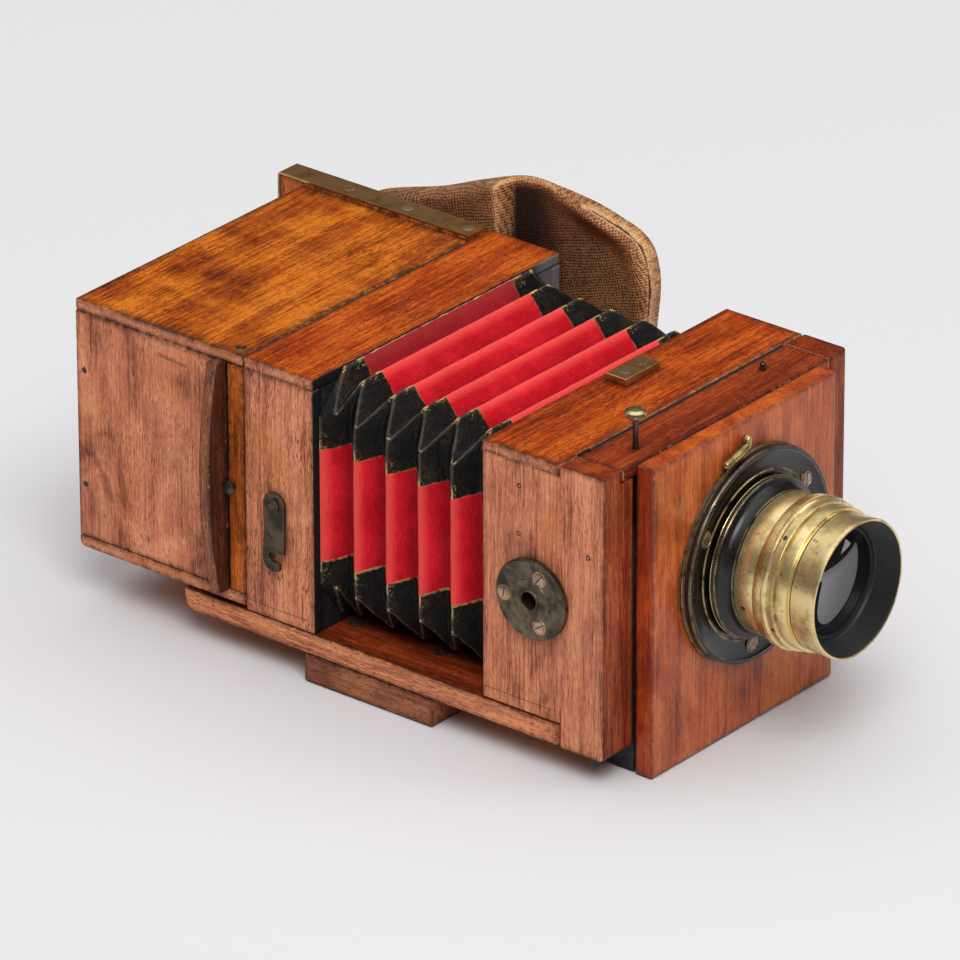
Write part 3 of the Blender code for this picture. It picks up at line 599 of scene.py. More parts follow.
SEAM_DARK = plain("seam_dark", (0.018, 0.010, 0.007, 1), 0.8)
# Black for sheets put in the front top's slot: a painted shadow.
PAINTED_SLOT_SHADOW = plain("painted_slot_shade", (0.004, 0.003, 0.003, 1), 0.9)
NAIL = plain("nail_rust", (0.050, 0.034, 0.027, 1), 0.5, 0.4)
PLUG = plain("plug_wood", (0.060, 0.026, 0.015, 1), 0.6)
SCRATCH = plain("scratch_pale", rgb(214, 140, 96), 0.6)
EBONITE = plain("ebonite", (0.012, 0.011, 0.011, 1), 0.35, coat=0.2)
SHEATH = plain("sheath", (0.03, 0.03, 0.032, 1), 0.4, 0.6)
CREAM = plain("torn_edge", rgb(212, 160, 118), 0.8)


def glass():
    """Nearly black glass, whose normals are bent so that it mirrors the studio as the photograph's glass does."""
    look = Look("lens_glass", roughness=0.03, coat=1.0, coat_roughness=0.01, ior=1.68)
    haze = look.noise(120, detail=4)
    look.set("Base Color", look.mix(look.step(haze, 0.3, 0.8), (0.004, 0.004, 0.005, 1), (0.016, 0.014, 0.016, 1)))
    look.set("Roughness", look.step(haze, 0.3, 0.8, 0.02, 0.06))
    across, above = look.off_axis()
    crown = look.most(look.fma(across, -0.12, above - 0.0030), 0.0)
    crown = look.least(crown * 170.0, 0.78)
    turned = look.join(across * -20.0, -1.0, look.fma(above, -15.0, crown))
    level = look.node("ShaderNodeVectorMath", (turned,), operation="NORMALIZE")
    look.set("Normal", level)
    look.set("Coat Normal", level)
    return look.material


GLASS = glass()


# --- wood


ALONG_X, ALONG_Y, ALONG_Z = 0, 1, 2
FROM_TOP, FROM_SIDE = (0, 1), (1, 2)  # the two axes of a stain's places
PAINTED = (1, 0.0437)  # the rear frame's boards are blackened ahead of this place along Y


def dress_wood():
    wood("box_top", ALONG_X, top=FIGURED, front=FIGURED, figure=0.6, grime=1.0)
    wood("rear_top", ALONG_X, top=GLOSSY, paint=PAINTED, top_reach=0.6)
    wood("front_top_board", ALONG_X, top=GLOSSY, top_reach=0.8, grime=0.9, stains=(FROM_TOP, (
        (-6.0, -32.8, 14.0, -32.8, 1.1), (-6.0, -43.2, 14.0, -43.2, 1.3), (14.4, -42.0, 14.4, -34.0, 1.1),
        (-6.0, -42.0, -6.0, -34.0, 1.1))))
    wood("front_top_rail", ALONG_X, top=DULL_RED, side=DULL_RED, top_reach=0.5, grime=1.0, stains=(FROM_TOP, (
        (-42.0, -73.9, -36.5, -73.6, 2.6), (33.0, -69.3, 37.5, -69.3, 1.4))))
    wood("lens_panel", ALONG_Z, side=PANEL_SIDE, top=GLOSSY, front=FRONT_RED, figure=0.7, grime=0.7, top_reach=0.4,
         pores=0.45)
    wood("box_side", ALONG_Z, grime=0.9, figure=0.9, pores=0.7, stains=(FROM_SIDE, (
        (142.5, 57.5, 138.5, 51.0, 1.3), (138.5, 51.0, 134.5, 42.5, 1.8), (147.0, 58.5, 144.5, 57.0, 0.8),
        (124.0, 96.0, 123.6, 93.5, 0.8), (119.0, 33.5, 118.0, 31.5, 0.9), (112.0, 104.5, 100.0, 103.5, 0.8))))
    wood("box_front_frame", ALONG_Z, side=STRIP, figure=0.6, stains=(FROM_SIDE, (
        (77.5, 90.0, 79.5, 72.0, 1.4), (78.0, 58.0, 76.5, 44.0, 1.2))))
    wood("front_side_left", ALONG_Z, grime=0.55, pores=0.5, span="front_post_left", seed=3.0)
    wood("front_side_right", ALONG_Z, grime=0.55, seed=4.0)
    for node in ("rear_side_left", "rear_side_right"):
        wood(node, ALONG_Z, grime=0.6, paint=PAINTED, pores=0.95, figure=0.3)
    post = dict(front=POST_RED, top=DULL_RED, grime=0.7)
    wood("front_post_left", ALONG_Z, pores=0.5, span="front_side_left", seed=3.0, **post)
    wood("front_post_right", ALONG_Z, **post)
    wood("baseboard", ALONG_Y, side=BED_EDGE, top=BED_DARK, top_reach=1.4)
    wood("tripod_block", ALONG_Y, side=BLOCK_BROWN, figure=0.8, grime=1.0)
    for node in ("box_bottom", "box_back", "rear_bottom", "pressure_board"):
        wood(node, ALONG_X)
    wood("bag_frame", ALONG_Z, side=STRIP)
    wood("slide_grip", ALONG_Z, side=BLOCK_BROWN, front=GRIP_DARK, grime=1.0, outline=True)


def dress_rest():
    for material, names in (
        (BLACKED, "rear_front_panel rear_back_panel shutter_board bellows_front_frame panel_tongue"),
        (BLACKED, "peg_left peg_right"),
        (AGED, "bag_rail finder_block clamp_plate clamp_screw guide_runner"),
        (DARK_BRONZE, "side_bush block_bush"),
        (HOOK_BRASS, "side_hook hook_pivot"),
        (KNOB_BRASS, "shutter_knob"),
        (DARK_STEEL, "shutter_rod hook_pin pressure_spring release_pin"),
        (EBONITE, "dark_slide shutter_blade iris_diaphragm"),
        (SHEATH, "plate_holder_front plate_holder_stack"),
        (GLASS, "rear_glass"),
    ):
        for node in names.split():
            give(nodes[node], material)


# --- bellows


def bellows_look():
    """Red cloth flats and black leather corners, told apart by signed distances kept on the mesh, with painted shade
    in the hollows of the folds and painted highlights on their ridges.
    """
    look = Look("bellows_cloth_leather")
    rest = look.attribute("rest", "Vector")
    inside = look.attribute("red_mm")
    ridge = look.attribute("ridge_mm")
    jag = look.noise(500, detail=3, place=rest)
    shifted = look.fma(jag - 0.5, 1.1, inside)
    red = look.step(shifted, -0.12, 0.12)
    _, y, z = look.split(rest)
    weave_a = look.noise((300, 4200, 300), detail=1, place=rest)
    weave_b = look.noise((4200, 300, 4200), detail=1, place=rest)
    weave = weave_a + weave_b
    fade = look.noise(70, detail=4, rough=0.6, place=rest)
    cloth = look.mix(look.step(fade, 0.35, 0.68), rgb(214, 18, 34), rgb(242, 36, 50))
    cloth = look.mix(look.step(weave, 0.85, 1.2), look.mix(0.36, cloth, (0.06, 0.0, 0.004, 1)), cloth)
    # Painted shade: the cloth darkens towards each fold's hollow.
    deep = look.step(ridge, 1.5, 10.5)
    cloth = look.mix(deep * 0.55, cloth, rgb(126, 0, 18))
    # Painted highlight: the cloth lightens towards each fold's ridge.
    cloth = look.mix(look.step(ridge, 0.5, 4.5, 0.6, 0.0), cloth, rgb(250, 92, 84))
    strip = look.step(y, 0.0368, 0.0374) * look.step(z, 0.094, 0.098)
    cloth = look.mix(strip * 0.72, cloth, rgb(120, 24, 30))
    lint = look.noise(1300, detail=2, place=rest)
    cloth = look.mix(look.step(lint, 0.71, 0.76, 0.0, 0.35), cloth, rgb(226, 130, 120))
    cell = {"Vector": look.scaled((900, 900, 900), rest), "Scale": 1.0}
    grain = look.node("ShaderNodeTexVoronoi", cell, out="Distance", feature="DISTANCE_TO_EDGE")
    wrinkle = look.noise((240, 700, 240), detail=4, rough=0.65, twist=1.2, place=rest)
    leather = look.mix(look.step(wrinkle, 0.35, 0.7), (0.002, 0.0015, 0.0015, 1), (0.010, 0.007, 0.005, 1))
    brown = look.step(look.noise(110, detail=4, rough=0.7, place=rest), 0.52, 0.66)
    leather = look.mix(brown * 0.6, leather, (0.042, 0.024, 0.013, 1))
    # Painted shade: the leather darkens towards each fold's hollow.
    painted_hollow_shade = look.step(ridge, 1.5, 7.0)
    leather = look.mix(painted_hollow_shade * 0.7, leather, (0.002, 0.002, 0.002, 1))
    # Painted highlight along each fold's crest on the leather, with wear there too.
    crest_highlight_and_wear = look.step(look.fma(wrinkle - 0.5, 3.0, ridge), 0.1, 1.3, 1.0, 0.0)
    leather = look.mix(crest_highlight_and_wear * 0.5, leather, (0.13, 0.105, 0.082, 1))
    colour = look.mix(red, leather, cloth)
    seam = look.step(look.math("ABSOLUTE", shifted), 0.28, 0.5, 1.0, 0.0)
    patchy = look.noise(330, detail=3, rough=0.6, place=rest)
    seam = seam * look.step(patchy, 0.38, 0.55)
    seam = seam * look.step(z, 0.058, 0.072, 1.0, 0.22)
    colour = look.mix(seam * 0.85, colour, rgb(190, 150, 92))
    rub = look.step(look.fma(patchy - 0.5, 1.6, ridge), 0.15, 0.75, 1.0, 0.0)
    flat = rub * look.step(patchy, 0.4, 0.6)
    cloth_rub = flat * red
    colour = look.mix(cloth_rub * 0.55, colour, rgb(186, 108, 88))
    tips = look.attribute("tip") * (1.0 - red)
    tip_rub = look.step(look.fma(patchy, 1.1, tips), 1.02, 1.2) * rub
    spark = look.step(look.noise(900, detail=4, rough=0.75, place=rest), 0.57, 0.63)
    spark = spark * look.step(tips, 0.1, 0.6) * 0.8
    spark = spark * look.step(ridge, 1.2, 3.6, 1.0, 0.06)
    worn = look.most(tip_rub, spark)
    worn = worn * (1.0 - red)
    colour = look.mix(worn, colour, rgb(206, 166, 104))
    rough = look.blend(red, look.step(wrinkle, 0.3, 0.7, 0.36, 0.6), 0.95)
    look.set("Specular IOR Level", 0.18)
    height = look.blend(red, look.fma(grain, 0.7, wrinkle * 2.6), weave * 0.5)
    return look.done(colour, rough, height, 0.0003, 0.9)


BELLOWS_BACK = 42.4  # where the front of the rear frame's panel is, in Y
FOLD_STEPS, FOLD_REACH = 12, 10.9  # rows in a fold, and millimetres from its ridge to its hollow
TOP, UPPER_CORNER, SIDE, LOWER_SIDE, LOWER_CORNER, BOTTOM = range(6)  # the patches of the right half
PATCH_STEPS = (24, 12, 24, 6, 10, 24)


def bellows_rings():
    """(y, top fold, side fold) from the rear frame forward: 1 stands out, 0 lies in."""
    rings = [(43.2, 1.0, 0.98), (39.3, 0.45, 0.6)]
    y, top = 35.45, 1.0
    while y > -57:
        rings.append((y, top, 1.0 - top))
        top = 1.0 - top
        y -= 6.95
    return [*rings, (-59.1, 0.45, 0.55)]


def ring_corners(y, top, side):
    """The folded section's corner points on the right half, from the top's middle to the bottom's."""
    forward = BELLOWS_BACK - y
    top_z = 112.2 - 0.08 * min(forward, 22) - 8.4 * (1 - top) + (2.2 if y > 43 else 0)
    low_z = 22.0 + 8.2 * (1 - top)
    side_x = 63.8 - 0.02 * forward - 8.2 * (1 - side)
    corners = [(0, top_z), (50.3, top_z), (side_x, 100.4 - 0.03 * forward), (side_x, red_low(side)), (side_x, 36.0),
               (52, low_z), (0, low_z)]
    return np.array(corners, float)


def red_low(side):
    """Where the red cloth of a side panel ends below."""
    return 45.6 + 2.4 * (1 - side)


def red_high(forward, side):
    """Where it ends above."""
    return 88.0 - 0.035 * forward + 2.2 * (1 - side)


def fold_point(t, w, p, q, p2, q2, rising):
    """A point of a corner patch, and how far it is from the crease between the outer ends of its two fold lines."""
    if rising:
        if t + w <= 1:
            return p + t * (q - p) + w * (p2 - p), abs(t + w - 1)
        return q2 + (1 - t) * (p2 - q2) + (1 - w) * (q - q2), abs(t + w - 1)
    if w <= t:
        return p + t * (q - p) + w * (q2 - q), abs(t - w)
    return p2 + t * (q2 - p2) + (1 - w) * (p - p2), abs(t - w)


def bellows_row(first, second, w):
    """One row of the right half, a share w of the way between two rings: (x, y, z, red_mm, ridge_mm, tip) each."""
    (y1, top1, side1), (y2, top2, side2) = first, second
    a, b = ring_corners(*first), ring_corners(*second)
    y = y1 + (y2 - y1) * w
    forward = BELLOWS_BACK - y1 - (y2 - y1) * w
    side = side1 + (side2 - side1) * w
    row = []
    for patch, steps in enumerate(PATCH_STEPS):
        p, q, p2, q2 = a[patch], a[patch + 1], b[patch], b[patch + 1]
        out1, out2 = (top1, top2) if patch in (TOP, BOTTOM) else (side1, side2)
        for i in range(steps + (patch == BOTTOM)):
            t = i / steps
            if patch in (UPPER_CORNER, LOWER_CORNER):
                rising = side1 >= top1 if patch == UPPER_CORNER else top1 >= side1
                xz, crease = fold_point(t, w, p, q, p2, q2, rising)
                ridge, red = crease * FOLD_REACH * 0.72, -9.0
                tip = max(0.0, 1.0 - 3.2 * min(math.hypot(u, v) for u in (t, 1 - t) for v in (w, 1 - w)))
            else:
                xz = (p + t * (q - p)) * (1 - w) + (p2 + t * (q2 - p2)) * w
                ridge = (1 - out1 - (out2 - out1) * w) * FOLD_REACH
                red = {TOP: 40.0 - xz[0], LOWER_SIDE: -t * np.linalg.norm(q - p)}.get(patch, -8.0)
                if patch == SIDE:
                    red = min(red_high(forward, side) - xz[1], xz[1] - red_low(side))
                tip = max(0.0, 1.0 - 0.12 * abs(red)) if patch != BOTTOM else 0.0
            row.append((xz[0], y, xz[1], red, ridge, tip))
    return row




def build_bellows():
    rings = bellows_rings()
    rows = []
    for index, (first, second) in enumerate(zip(rings, rings[1:])):
        last = index == len(rings) - 2
        rows += [bellows_row(first, second, s / FOLD_STEPS) for s in range(FOLD_STEPS + last)]
    half = np.array(rows)
    mirrored = half[:, ::-1].copy()
    mirrored[:, :, 0] *= -1
    whole = np.concatenate([half, mirrored[:, 1:-1]], axis=1)
    full, red, ridge, tip = whole[:, :, :3].copy(), whole[:, :, 3], whole[:, :, 4], whole[:, :, 5]
    for _ in range(3):  # soften every fold a little
        inner = (full[:-2] + full[2:]) / 2
        full[1:-1] = full[1:-1] * 0.62 + inner * 0.38
        around = (np.roll(full, 1, axis=1) + np.roll(full, -1, axis=1)) / 2
        full[1:-1] = full[1:-1] * 0.75 + around[1:-1] * 0.25
    n_rows, n_columns = full.shape[:2]
    for i in range(1, n_rows - 1):
        for j in range(n_columns):
            x, y, z = full[i, j]
            leather = 1.0 if red[i, j] < 0 else 0.35
            slow = noise.noise(Vector((x, y, z)) * 0.11)
            quick = noise.noise(Vector((x + 50, y * 1.6, z)) * 0.42)
            away = Vector((x, 0, z - 66)).normalized()
            full[i, j] += np.array(away) * (leather * (0.55 * slow + 0.35 * quick))
    points = full.reshape(-1, 3)
    obj = mesh_object("bellows_sleeve", points, grid_faces(n_rows, n_columns, loop=False), bellows_look(), "base",
                      attributes=(("red_mm", red), ("ridge_mm", ridge), ("tip", tip)))
    layer = obj.data.attributes.new("rest", "FLOAT_VECTOR", "POINT")
    layer.data.foreach_set("vector", (points * MM).astype(np.float32).reshape(-1))
    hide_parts("bellows")
    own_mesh(obj)


# --- bag


def bag_look():
    """Brown leather with a cross-hatched grain, lighter on its worn front rim, with painted highlights on its fold
    and crown and painted shade inside it.
    """
    look = Look("bag_leather")
    bend = look.noise(24, detail=2)
    _, y, z = look.split()
    warp = (bend - 0.5) * 0.016
    ragged = look.noise(1000, detail=3, rough=0.6)
    jitter = (ragged - 0.5) * 0.0011
    u = y + warp + jitter
    v = z - warp + jitter
    rows = look.math("SINE", look.fma(u, 0.35, v) * 5600.0)
    lines = look.math("SINE", look.fma(v, -0.2, u) * 5000.0)
    threads = lines + rows
    net = look.fma(ragged, 2.0, threads * 0.22)
    shade = look.noise(45, detail=4, rough=0.6)
    base = look.mix(look.step(shade, 0.35, 0.68), rgb(178, 110, 66), rgb(222, 154, 98))
    deep = look.mix(0.80, base, rgb(38, 18, 9))
    colour = look.mix(look.step(net, 0.78, 1.14), deep, base)
    rim = look.attribute("rim")
    patchy = look.noise(170, detail=4, rough=0.6)
    # Pale worn rim, with painted highlights on the fold and the crown.
    pale = look.step(look.fma(patchy - 0.5, 0.9, rim), 0.42, 0.85)
    tan = look.mix(look.step(ragged, 0.30, 0.6), rgb(186, 126, 74), rgb(236, 184, 122))
    colour = look.mix(pale * 0.85, colour, tan)
    # Painted shade inside the dish, near the fold and towards the bottom, and evenly on the rear half and the outer
    # face.
    colour = look.mix(look.attribute("painted_shade"), colour, (0.010, 0.004, 0.003, 1))
    core = look.attribute("crack")
    line = look.step(look.fma(patchy - 0.5, 0.7, core), 0.84, 0.99)
    colour = look.mix(line, colour, rgb(66, 38, 20))
    return look.done(colour, look.step(net, 0.3, 1.1, 0.78, 0.5), net, 0.00035, 0.7)


BAG_RIM = [
    (142, 98), (133, 109.5), (104, 119.5), (86, 127), (66, 134), (50, 134), (35, 132.5), (24, 130), (15, 127),
    (9.5, 121.5), (7.2, 111), (8, 99), (10.5, 82), (17, 60), (30, 43), (60, 33), (100, 27), (124, 26), (139, 33),
    (146, 50),
]


def ease(t):
    t = min(max(t, 0.0), 1.0)
    return t * t * (3 - 2 * t)


def bag_inner_x(y, z, r):
    """The near face: it folds at one line, steps in ahead of it and rises again to the front rim."""
    fold = 73.2 + 0.05 * (z - 110)
    ahead = ease((fold - y) / 1.5)
    back_face = 68.9 + 1.6 * ease((y - 80) / 40.0)
    dish = 76.3 - 5.0 * ease((40 - y) / 30.0) - 1.6 * ease((60 - y) / 12) * (1 - ease((40 - y) / 20.0))
    toward = ease((r - 0.80) / 0.16) * ease((58 - y) / 26.0)
    dish = dish * (1 - toward) + min(dish, 69.3) * toward
    return back_face * (1 - ahead) + dish * ahead + 0.5 * noise.noise(Vector((y * 0.06, z * 0.05, 3.0)))


def bag_outer_x(y, z, r):
    swell = max(0.0, 1 - r ** 2.4)
    slow, quick = (noise.noise(Vector(p)) for p in ((y * 0.035, z * 0.04, 9.0), (y * 0.08, z * 0.03, 2.0)))
    return 78.5 + swell * (5.0 + (1.5 * slow + 0.9 * abs(quick)))


def bag_marks(y, z, r, outer):
    """Three marks of a point: how pale the leather is there, from its worn rim and from painted highlights on the
    fold and the crown; how cracked it is; and how much painted shade darkens it.
    """
    if outer:
        # The outer face: a pale rim, and an even painted shade.
        return ease((r - 0.965) / 0.03) * 0.5, 0.0, 0.15
    front = ease((48 - y) / 16.0)
    # Painted highlights: a lit line along the fold and along the crown of the rim above it.
    fold = ease(1.1 - abs(y - 74.1 - 0.05 * (z - 110)) / 1.1) * ease((z - 70) / 30)
    crown = ease((r - 0.935) / 0.04) * ease(1.3 - abs(y - 64) / 18.0) * (1 if z > 90 else 0)
    lip = ease((r - 0.968) / 0.02) * (0.25 + 0.75 * front)
    # Painted shade inside the dish, growing near the fold and towards the bottom, and an even painted shade on the
    # rear half.
    inside = ease((73.0 - y) / 1.5) * (1 - ease((r - 0.90) / 0.08))
    painted_shade = inside * (0.5 * ease(y / 50.0) + 0.48 * ease((y - 46) / 18.0))
    painted_shade = max(painted_shade, inside * 0.66 * ease((106 - z) / 24.0), 0.36 * ease((y - 74) / 3.0))
    return max(lip, fold, crown), ease(1 - abs(r - 0.9836) / 0.012) * front, painted_shade


def build_bag():
    """A folded leather pouch: its rear half comes out to a crease, and its front half is dished inside a rim."""
    n = len(BAG_RIM)
    corners = np.array(BAG_RIM, float)
    outline = [between(*(corners[(i + k) % n] for k in (-1, 0, 1, 2)), s / 9) for i in range(n) for s in range(9)]
    centre = np.array((72.0, 82.0))
    rings, columns = 44, len(outline)
    edge = 0.93  # the share of the way out where the two faces start to round over to meet
    points, marks = [], []
    for outer in (False, True):
        for k in range(rings + 1):
            r = (k / rings) ** 0.72
            for corner in outline:
                y, z = centre + r * (corner - centre)
                a, b = bag_inner_x(y, z, r), bag_outer_x(y, z, r)
                if r > edge:
                    core = b - 1.4
                    bulge = math.sqrt(max(0.0, 1 - ((r - edge) / (1 - edge)) ** 2.2))
                    a, b = core + (a - core) * bulge, core + (b - core) * bulge
                points.append((b if outer else a, y, z))
                marks.append(bag_marks(y, z, r, outer))
    faces = []
    block = (rings + 1) * columns
    for base in (0, block):
        for k in range(rings):
            low, high = base + k * columns, base + (k + 1) * columns
            for j in range(columns):
                n = (j + 1) % columns
                quad = (low + j, low + n, high + n, high + j)
                faces.append(quad if base else quad[::-1])
    low, high = rings * columns, block + rings * columns
    for j in range(columns):
        n = (j + 1) % columns
        faces.append((low + j, low + n, high + n, high + j))
    obj = mesh_object("changing_bag_pouch", points, faces, bag_look(), "changing_box",
                      attributes=zip(("rim", "crack", "painted_shade"), zip(*marks)))
    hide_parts("changing_bag")
    give(nodes["bag_collar"], obj.data.materials[0])


# --- lens details


UP, LEFT, FRONT = (0, 0, 1), (-1, 0, 0), (0, -1, 0)


def on_axis(angle, radius, y):
    """A point at an angle in degrees about the lens axis, seen from its front, with +X to the right."""
    a = math.radians(angle)
    return (LX + radius * math.cos(a), y, LZ + radius * math.sin(a))


def build_lens_bodies():
    """Finely turned versions of the lens's rings, tubes and front glass."""
    ribs = [(23.55 - 3.5 * (i / 26) + (0.12 if i % 2 else -0.12), -134.7 + 7.2 * (i / 26)) for i in range(27)]
    hood = [(24.3, -125.3), (24.4, -127.0), (24.7, -133.3), (24.78, -134.6), (24.6, -135.15), (24.2, -135.3),
            (23.85, -135.15), *ribs, (19.7, -127.2), (19.5, -126.5), (18.75, -126.3), (18.7, -125.3)]
    cell = [(18.55, -125.0), (24.5, -125.0), (24.5, -124.2), (25.3, -124.1), (25.45, -123.8), (25.45, -120.2),
            (25.3, -119.95), (24.9, -119.8), (24.9, -119.5), (25.4, -119.3), (26.2, -119.15), (26.4, -118.9),
            (26.35, -116.4), (26.9, -116.05), (27.1, -115.8), (27.1, -115.0), (26.9, -114.8), (18.55, -114.8)]
    barrel = [(18.0, -114.5), (23.8, -114.5), (23.8, -110.3), (24.7, -110.3), (25.0, -110.15), (25.1, -109.9),
              (25.1, -102.4), (25.0, -102.15), (24.7, -102.0), (18.0, -102.0)]
    mount = [(18.0, -101.7), (25.0, -101.7), (25.25, -101.5), (25.3, -100.5), (25.6, -99.2), (26.1, -98.0),
             (26.8, -97.3), (27.7, -96.95), (28.3, -96.7), (28.5, -96.4), (28.5, -94.6), (20.3, -94.6),
             (20.3, -78.6), (18.0, -78.6)]
    dish = [(21.0, -92.9), (29.4, -92.9), (29.7, -93.25), (30.0, -93.25), (30.3, -92.95), (33.5, -93.45),
            (36.6, -94.0), (37.0, -94.3), (37.7, -94.35), (38.3, -94.1), (38.6, -93.6), (38.6, -91.5), (21.0, -91.5)]
    ring = [(21.0, -91.2), (38.3, -91.2), (38.8, -90.8), (38.8, -89.9), (21.0, -89.9)]
    dome = [(18.5 * i / 18, -125.4 + 4.0 * (18.5 * i / 18 / 18.5) ** 2) for i in range(1, 19)]
    pane = [(0.01, -125.4), *dome, (18.5, -117.5), (0.01, -117.5)]
    for name, node, profile, look, body in (
        ("hood_turned", "lens_hood", hood, hood_look("hood_brass", 23.85), "lens_board"),
        ("cell_turned", "front_cell", cell, hood_look("cell_brass", 19.2), "lens_board"),
        ("barrel_turned", "lens_barrel", barrel, hood_look("barrel_brass", 19.2), "lens_board"),
        ("mount_turned", "lens_mount", mount, LACQUER, "lens_board"),
        ("flange_turned", "lens_flange", dish, LACQUER, "lens_board"),
        ("lock_ring_turned", "lock_ring", ring, LACQUER, "lens_lock"),
        ("front_glass_turned", "front_glass", pane, GLASS, "lens_board"),
    ):
        obj = revolved(name, profile, look, body, steps=192, angle=28)
        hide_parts(node)
    path = [on_axis(angle, radius, -92.0) for radius, angle in (
        (42.4, 114.5), (42.1, 109), (41.9, 104), (42.1, 100), (43.0, 97.2), (44.6, 96.8), (45.9, 98.0))]
    lever = swept("lock_lever_bar", path, 1.55, 1.6, LEVER_BRASS, "lens_lock")
    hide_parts("lock_lever")


def build_lens_details():
    """The knurled ring, the mount's beads and milling, and the small screws of the barrel."""
    ring = [(24.15, -110.7), (26.0, -110.65), (26.35, -110.8, 0), (26.62, -111.1, 1), (26.68, -111.8, 1),
            (26.68, -113.2, 1), (26.62, -113.9, 1), (26.35, -114.2, 0), (24.15, -114.25)]
    knurled = revolved("iris_ring_knurled", ring, BRIGHT, "iris", teeth=216, depth=0.3, angle=25)
    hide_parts("iris_ring")
    for y, r in ((-94.75, 28.52), (-96.35, 28.42)):
        edge = [(r - 0.5, y + 0.15), (r, y + 0.15), (r + 0.12, y), (r, y - 0.15), (r - 0.5, y - 0.15)]
        revolved(f"mount_bead_{round(-y)}", edge, KNOB_BRASS, "lens_board")
    band = [(28.2, -94.95), (28.56, -95.0, 1), (28.6, -95.55, 1), (28.56, -96.1, 1), (28.2, -96.15)]
    revolved("mount_milling", band, AGED, "lens_board", teeth=200, depth=0.26, angle=25)
    dot = [(0, 0.32), (0.75, 0.3), (0.95, 0.18), (1.0, -0.3)]
    for i, (angle, r, y, body) in enumerate((
        (130, 26.3, -117.4, "lens_board"), (196, 25.1, -105.5, "lens_board"), (205, 26.3, -118.0, "lens_board"),
        (225, 26.6, -112.0, "iris"), (40, 26.3, -117.4, "lens_board"),
    )):
        out = (math.cos(math.radians(angle)), 0, math.sin(math.radians(angle)))
        pin = lathe_at(f"barrel_pin_{i + 1}", dot, on_axis(angle, r - 0.15, y), out, NAIL, body, steps=16)


# --- small metal and marks


BUSH_HOLES = ((-69.1, -41.4, 63.0), (-69.1, -56.4, 72.2), (-69.1, -56.4, 54.6))
FLANGE_HOLES = ((150, 33.9), (36, 31.6), (-96, 32.2))  # angles and radii about the lens axis
FRONT_SIDE, REAR_SIDE = -66.2, -66.65  # where the left faces of the front box and of the rear boxes are, in X
FRONT_TOP, REAR_TOP = 115.2, 114.9  # the same of their tops, in Z


def build_screws():
    """Every slotted screw: its name, node, body, material, way, radius, height, slot and places with their turns."""
    for name, node, body, material, way, radius, proud, slot, spots in (
        ("side_bush_screw", "side_bush", "base", SCREW_PINK, LEFT, 2.15, 0.35, 0.22, zip(BUSH_HOLES, (80, 50, 35))),
        ("finder_screw", "finder_block", "base", SCREW_GREY, UP, 1.9, 0.12, 0.22,
         (((0.0, -37.95, 118.2), 20), ((8.6, -37.95, 118.2), 60))),
        ("rail_screw", "bag_rail", "changing_box", SCREW_PINK, UP, 2.0, 0.12, 0.22,
         (((59.2, 132.0, 116.8), 60), ((59.2, 105.4, 116.8), 115), ((59.2, 78.4, 116.8), 170))),
        ("bed_screw", "baseboard", "base", SCREW_GREY, UP, 3.1, 0.08, 0.16,
         (((-50.4, 38.4, 18.9), 15), ((-49.2, 1.9, 18.9), 55), ((50.4, 38.4, 18.9), 95), ((49.2, 1.9, 18.9), 135))),
        ("flange_screw", "lens_flange", "lens_board", SCREW_GREY, FRONT, 2.45, 0.45, 0.22,
         ((on_axis(*hole, -93.5), 35 + 50 * i) for i, hole in enumerate(FLANGE_HOLES))),
    ):
        for i, (at, turn) in enumerate(spots):
            head = screw_head(f"{name}_{i + 1}", at, way, radius, math.radians(turn), material, body, proud, slot)
    at = (-61.75, 79.1, REAR_TOP)
    corner = screw_head("strip_corner_screw", at, UP, 1.9, 0.4, DARK_STEEL, "changing_box", proud=0.15)


def build_seats():
    """Small turned pieces: the screws' seats, the nails and plugs of the sides, and the bush's collar."""
    seat = [(2.15, -0.1), (2.25, 0.06), (2.6, 0.12), (2.8, 0.06), (2.85, -0.1)]
    dished = [(0, -0.3), (2.95, -0.3), (2.95, 0.28), (2.75, 0.34), (2.6, 0.05), (0, 0.05)]
    nail = [(0, 0.12), (0.9, 0.1), (1.15, 0.0), (1.15, -0.2)]
    plug = [(0, -0.1), (0.5, 0.02), (0.95, 0.05), (1.1, -0.1)]
    for name, node, body, material, way, profile, spots in (
        ("side_bush_seat", "side_bush", "base", AGED, LEFT, seat, BUSH_HOLES),
        ("flange_seat", "lens_flange", "lens_board", AGED, FRONT, dished,
         (on_axis(*hole, -93.45) for hole in FLANGE_HOLES)),
        ("box_nail", "box_side", "changing_box", NAIL, LEFT, nail,
         ((REAR_SIDE, 146.0, 88.4), (REAR_SIDE, 146.6, 44.9))),
        ("side_plug", "front_side_left", "base", PLUG, LEFT, plug,
         ((FRONT_SIDE, -45.5, 102.7), (FRONT_SIDE, -45.3, 85.0), (FRONT_SIDE, -74.9, 85.0))),
    ):
        for i, at in enumerate(spots):
            lathe_at(f"{name}_{i + 1}", profile, at, way, material, body)
    collar = [(3.15, -0.4), (3.2, 0.2), (3.4, 0.42), (4.0, 0.42), (4.25, 0.2), (4.3, -0.1)]
    ring = lathe_at("side_bush_collar", collar, (-69.4, -52.25, 63.3), LEFT, HOOK_BRASS, "base", steps=64)


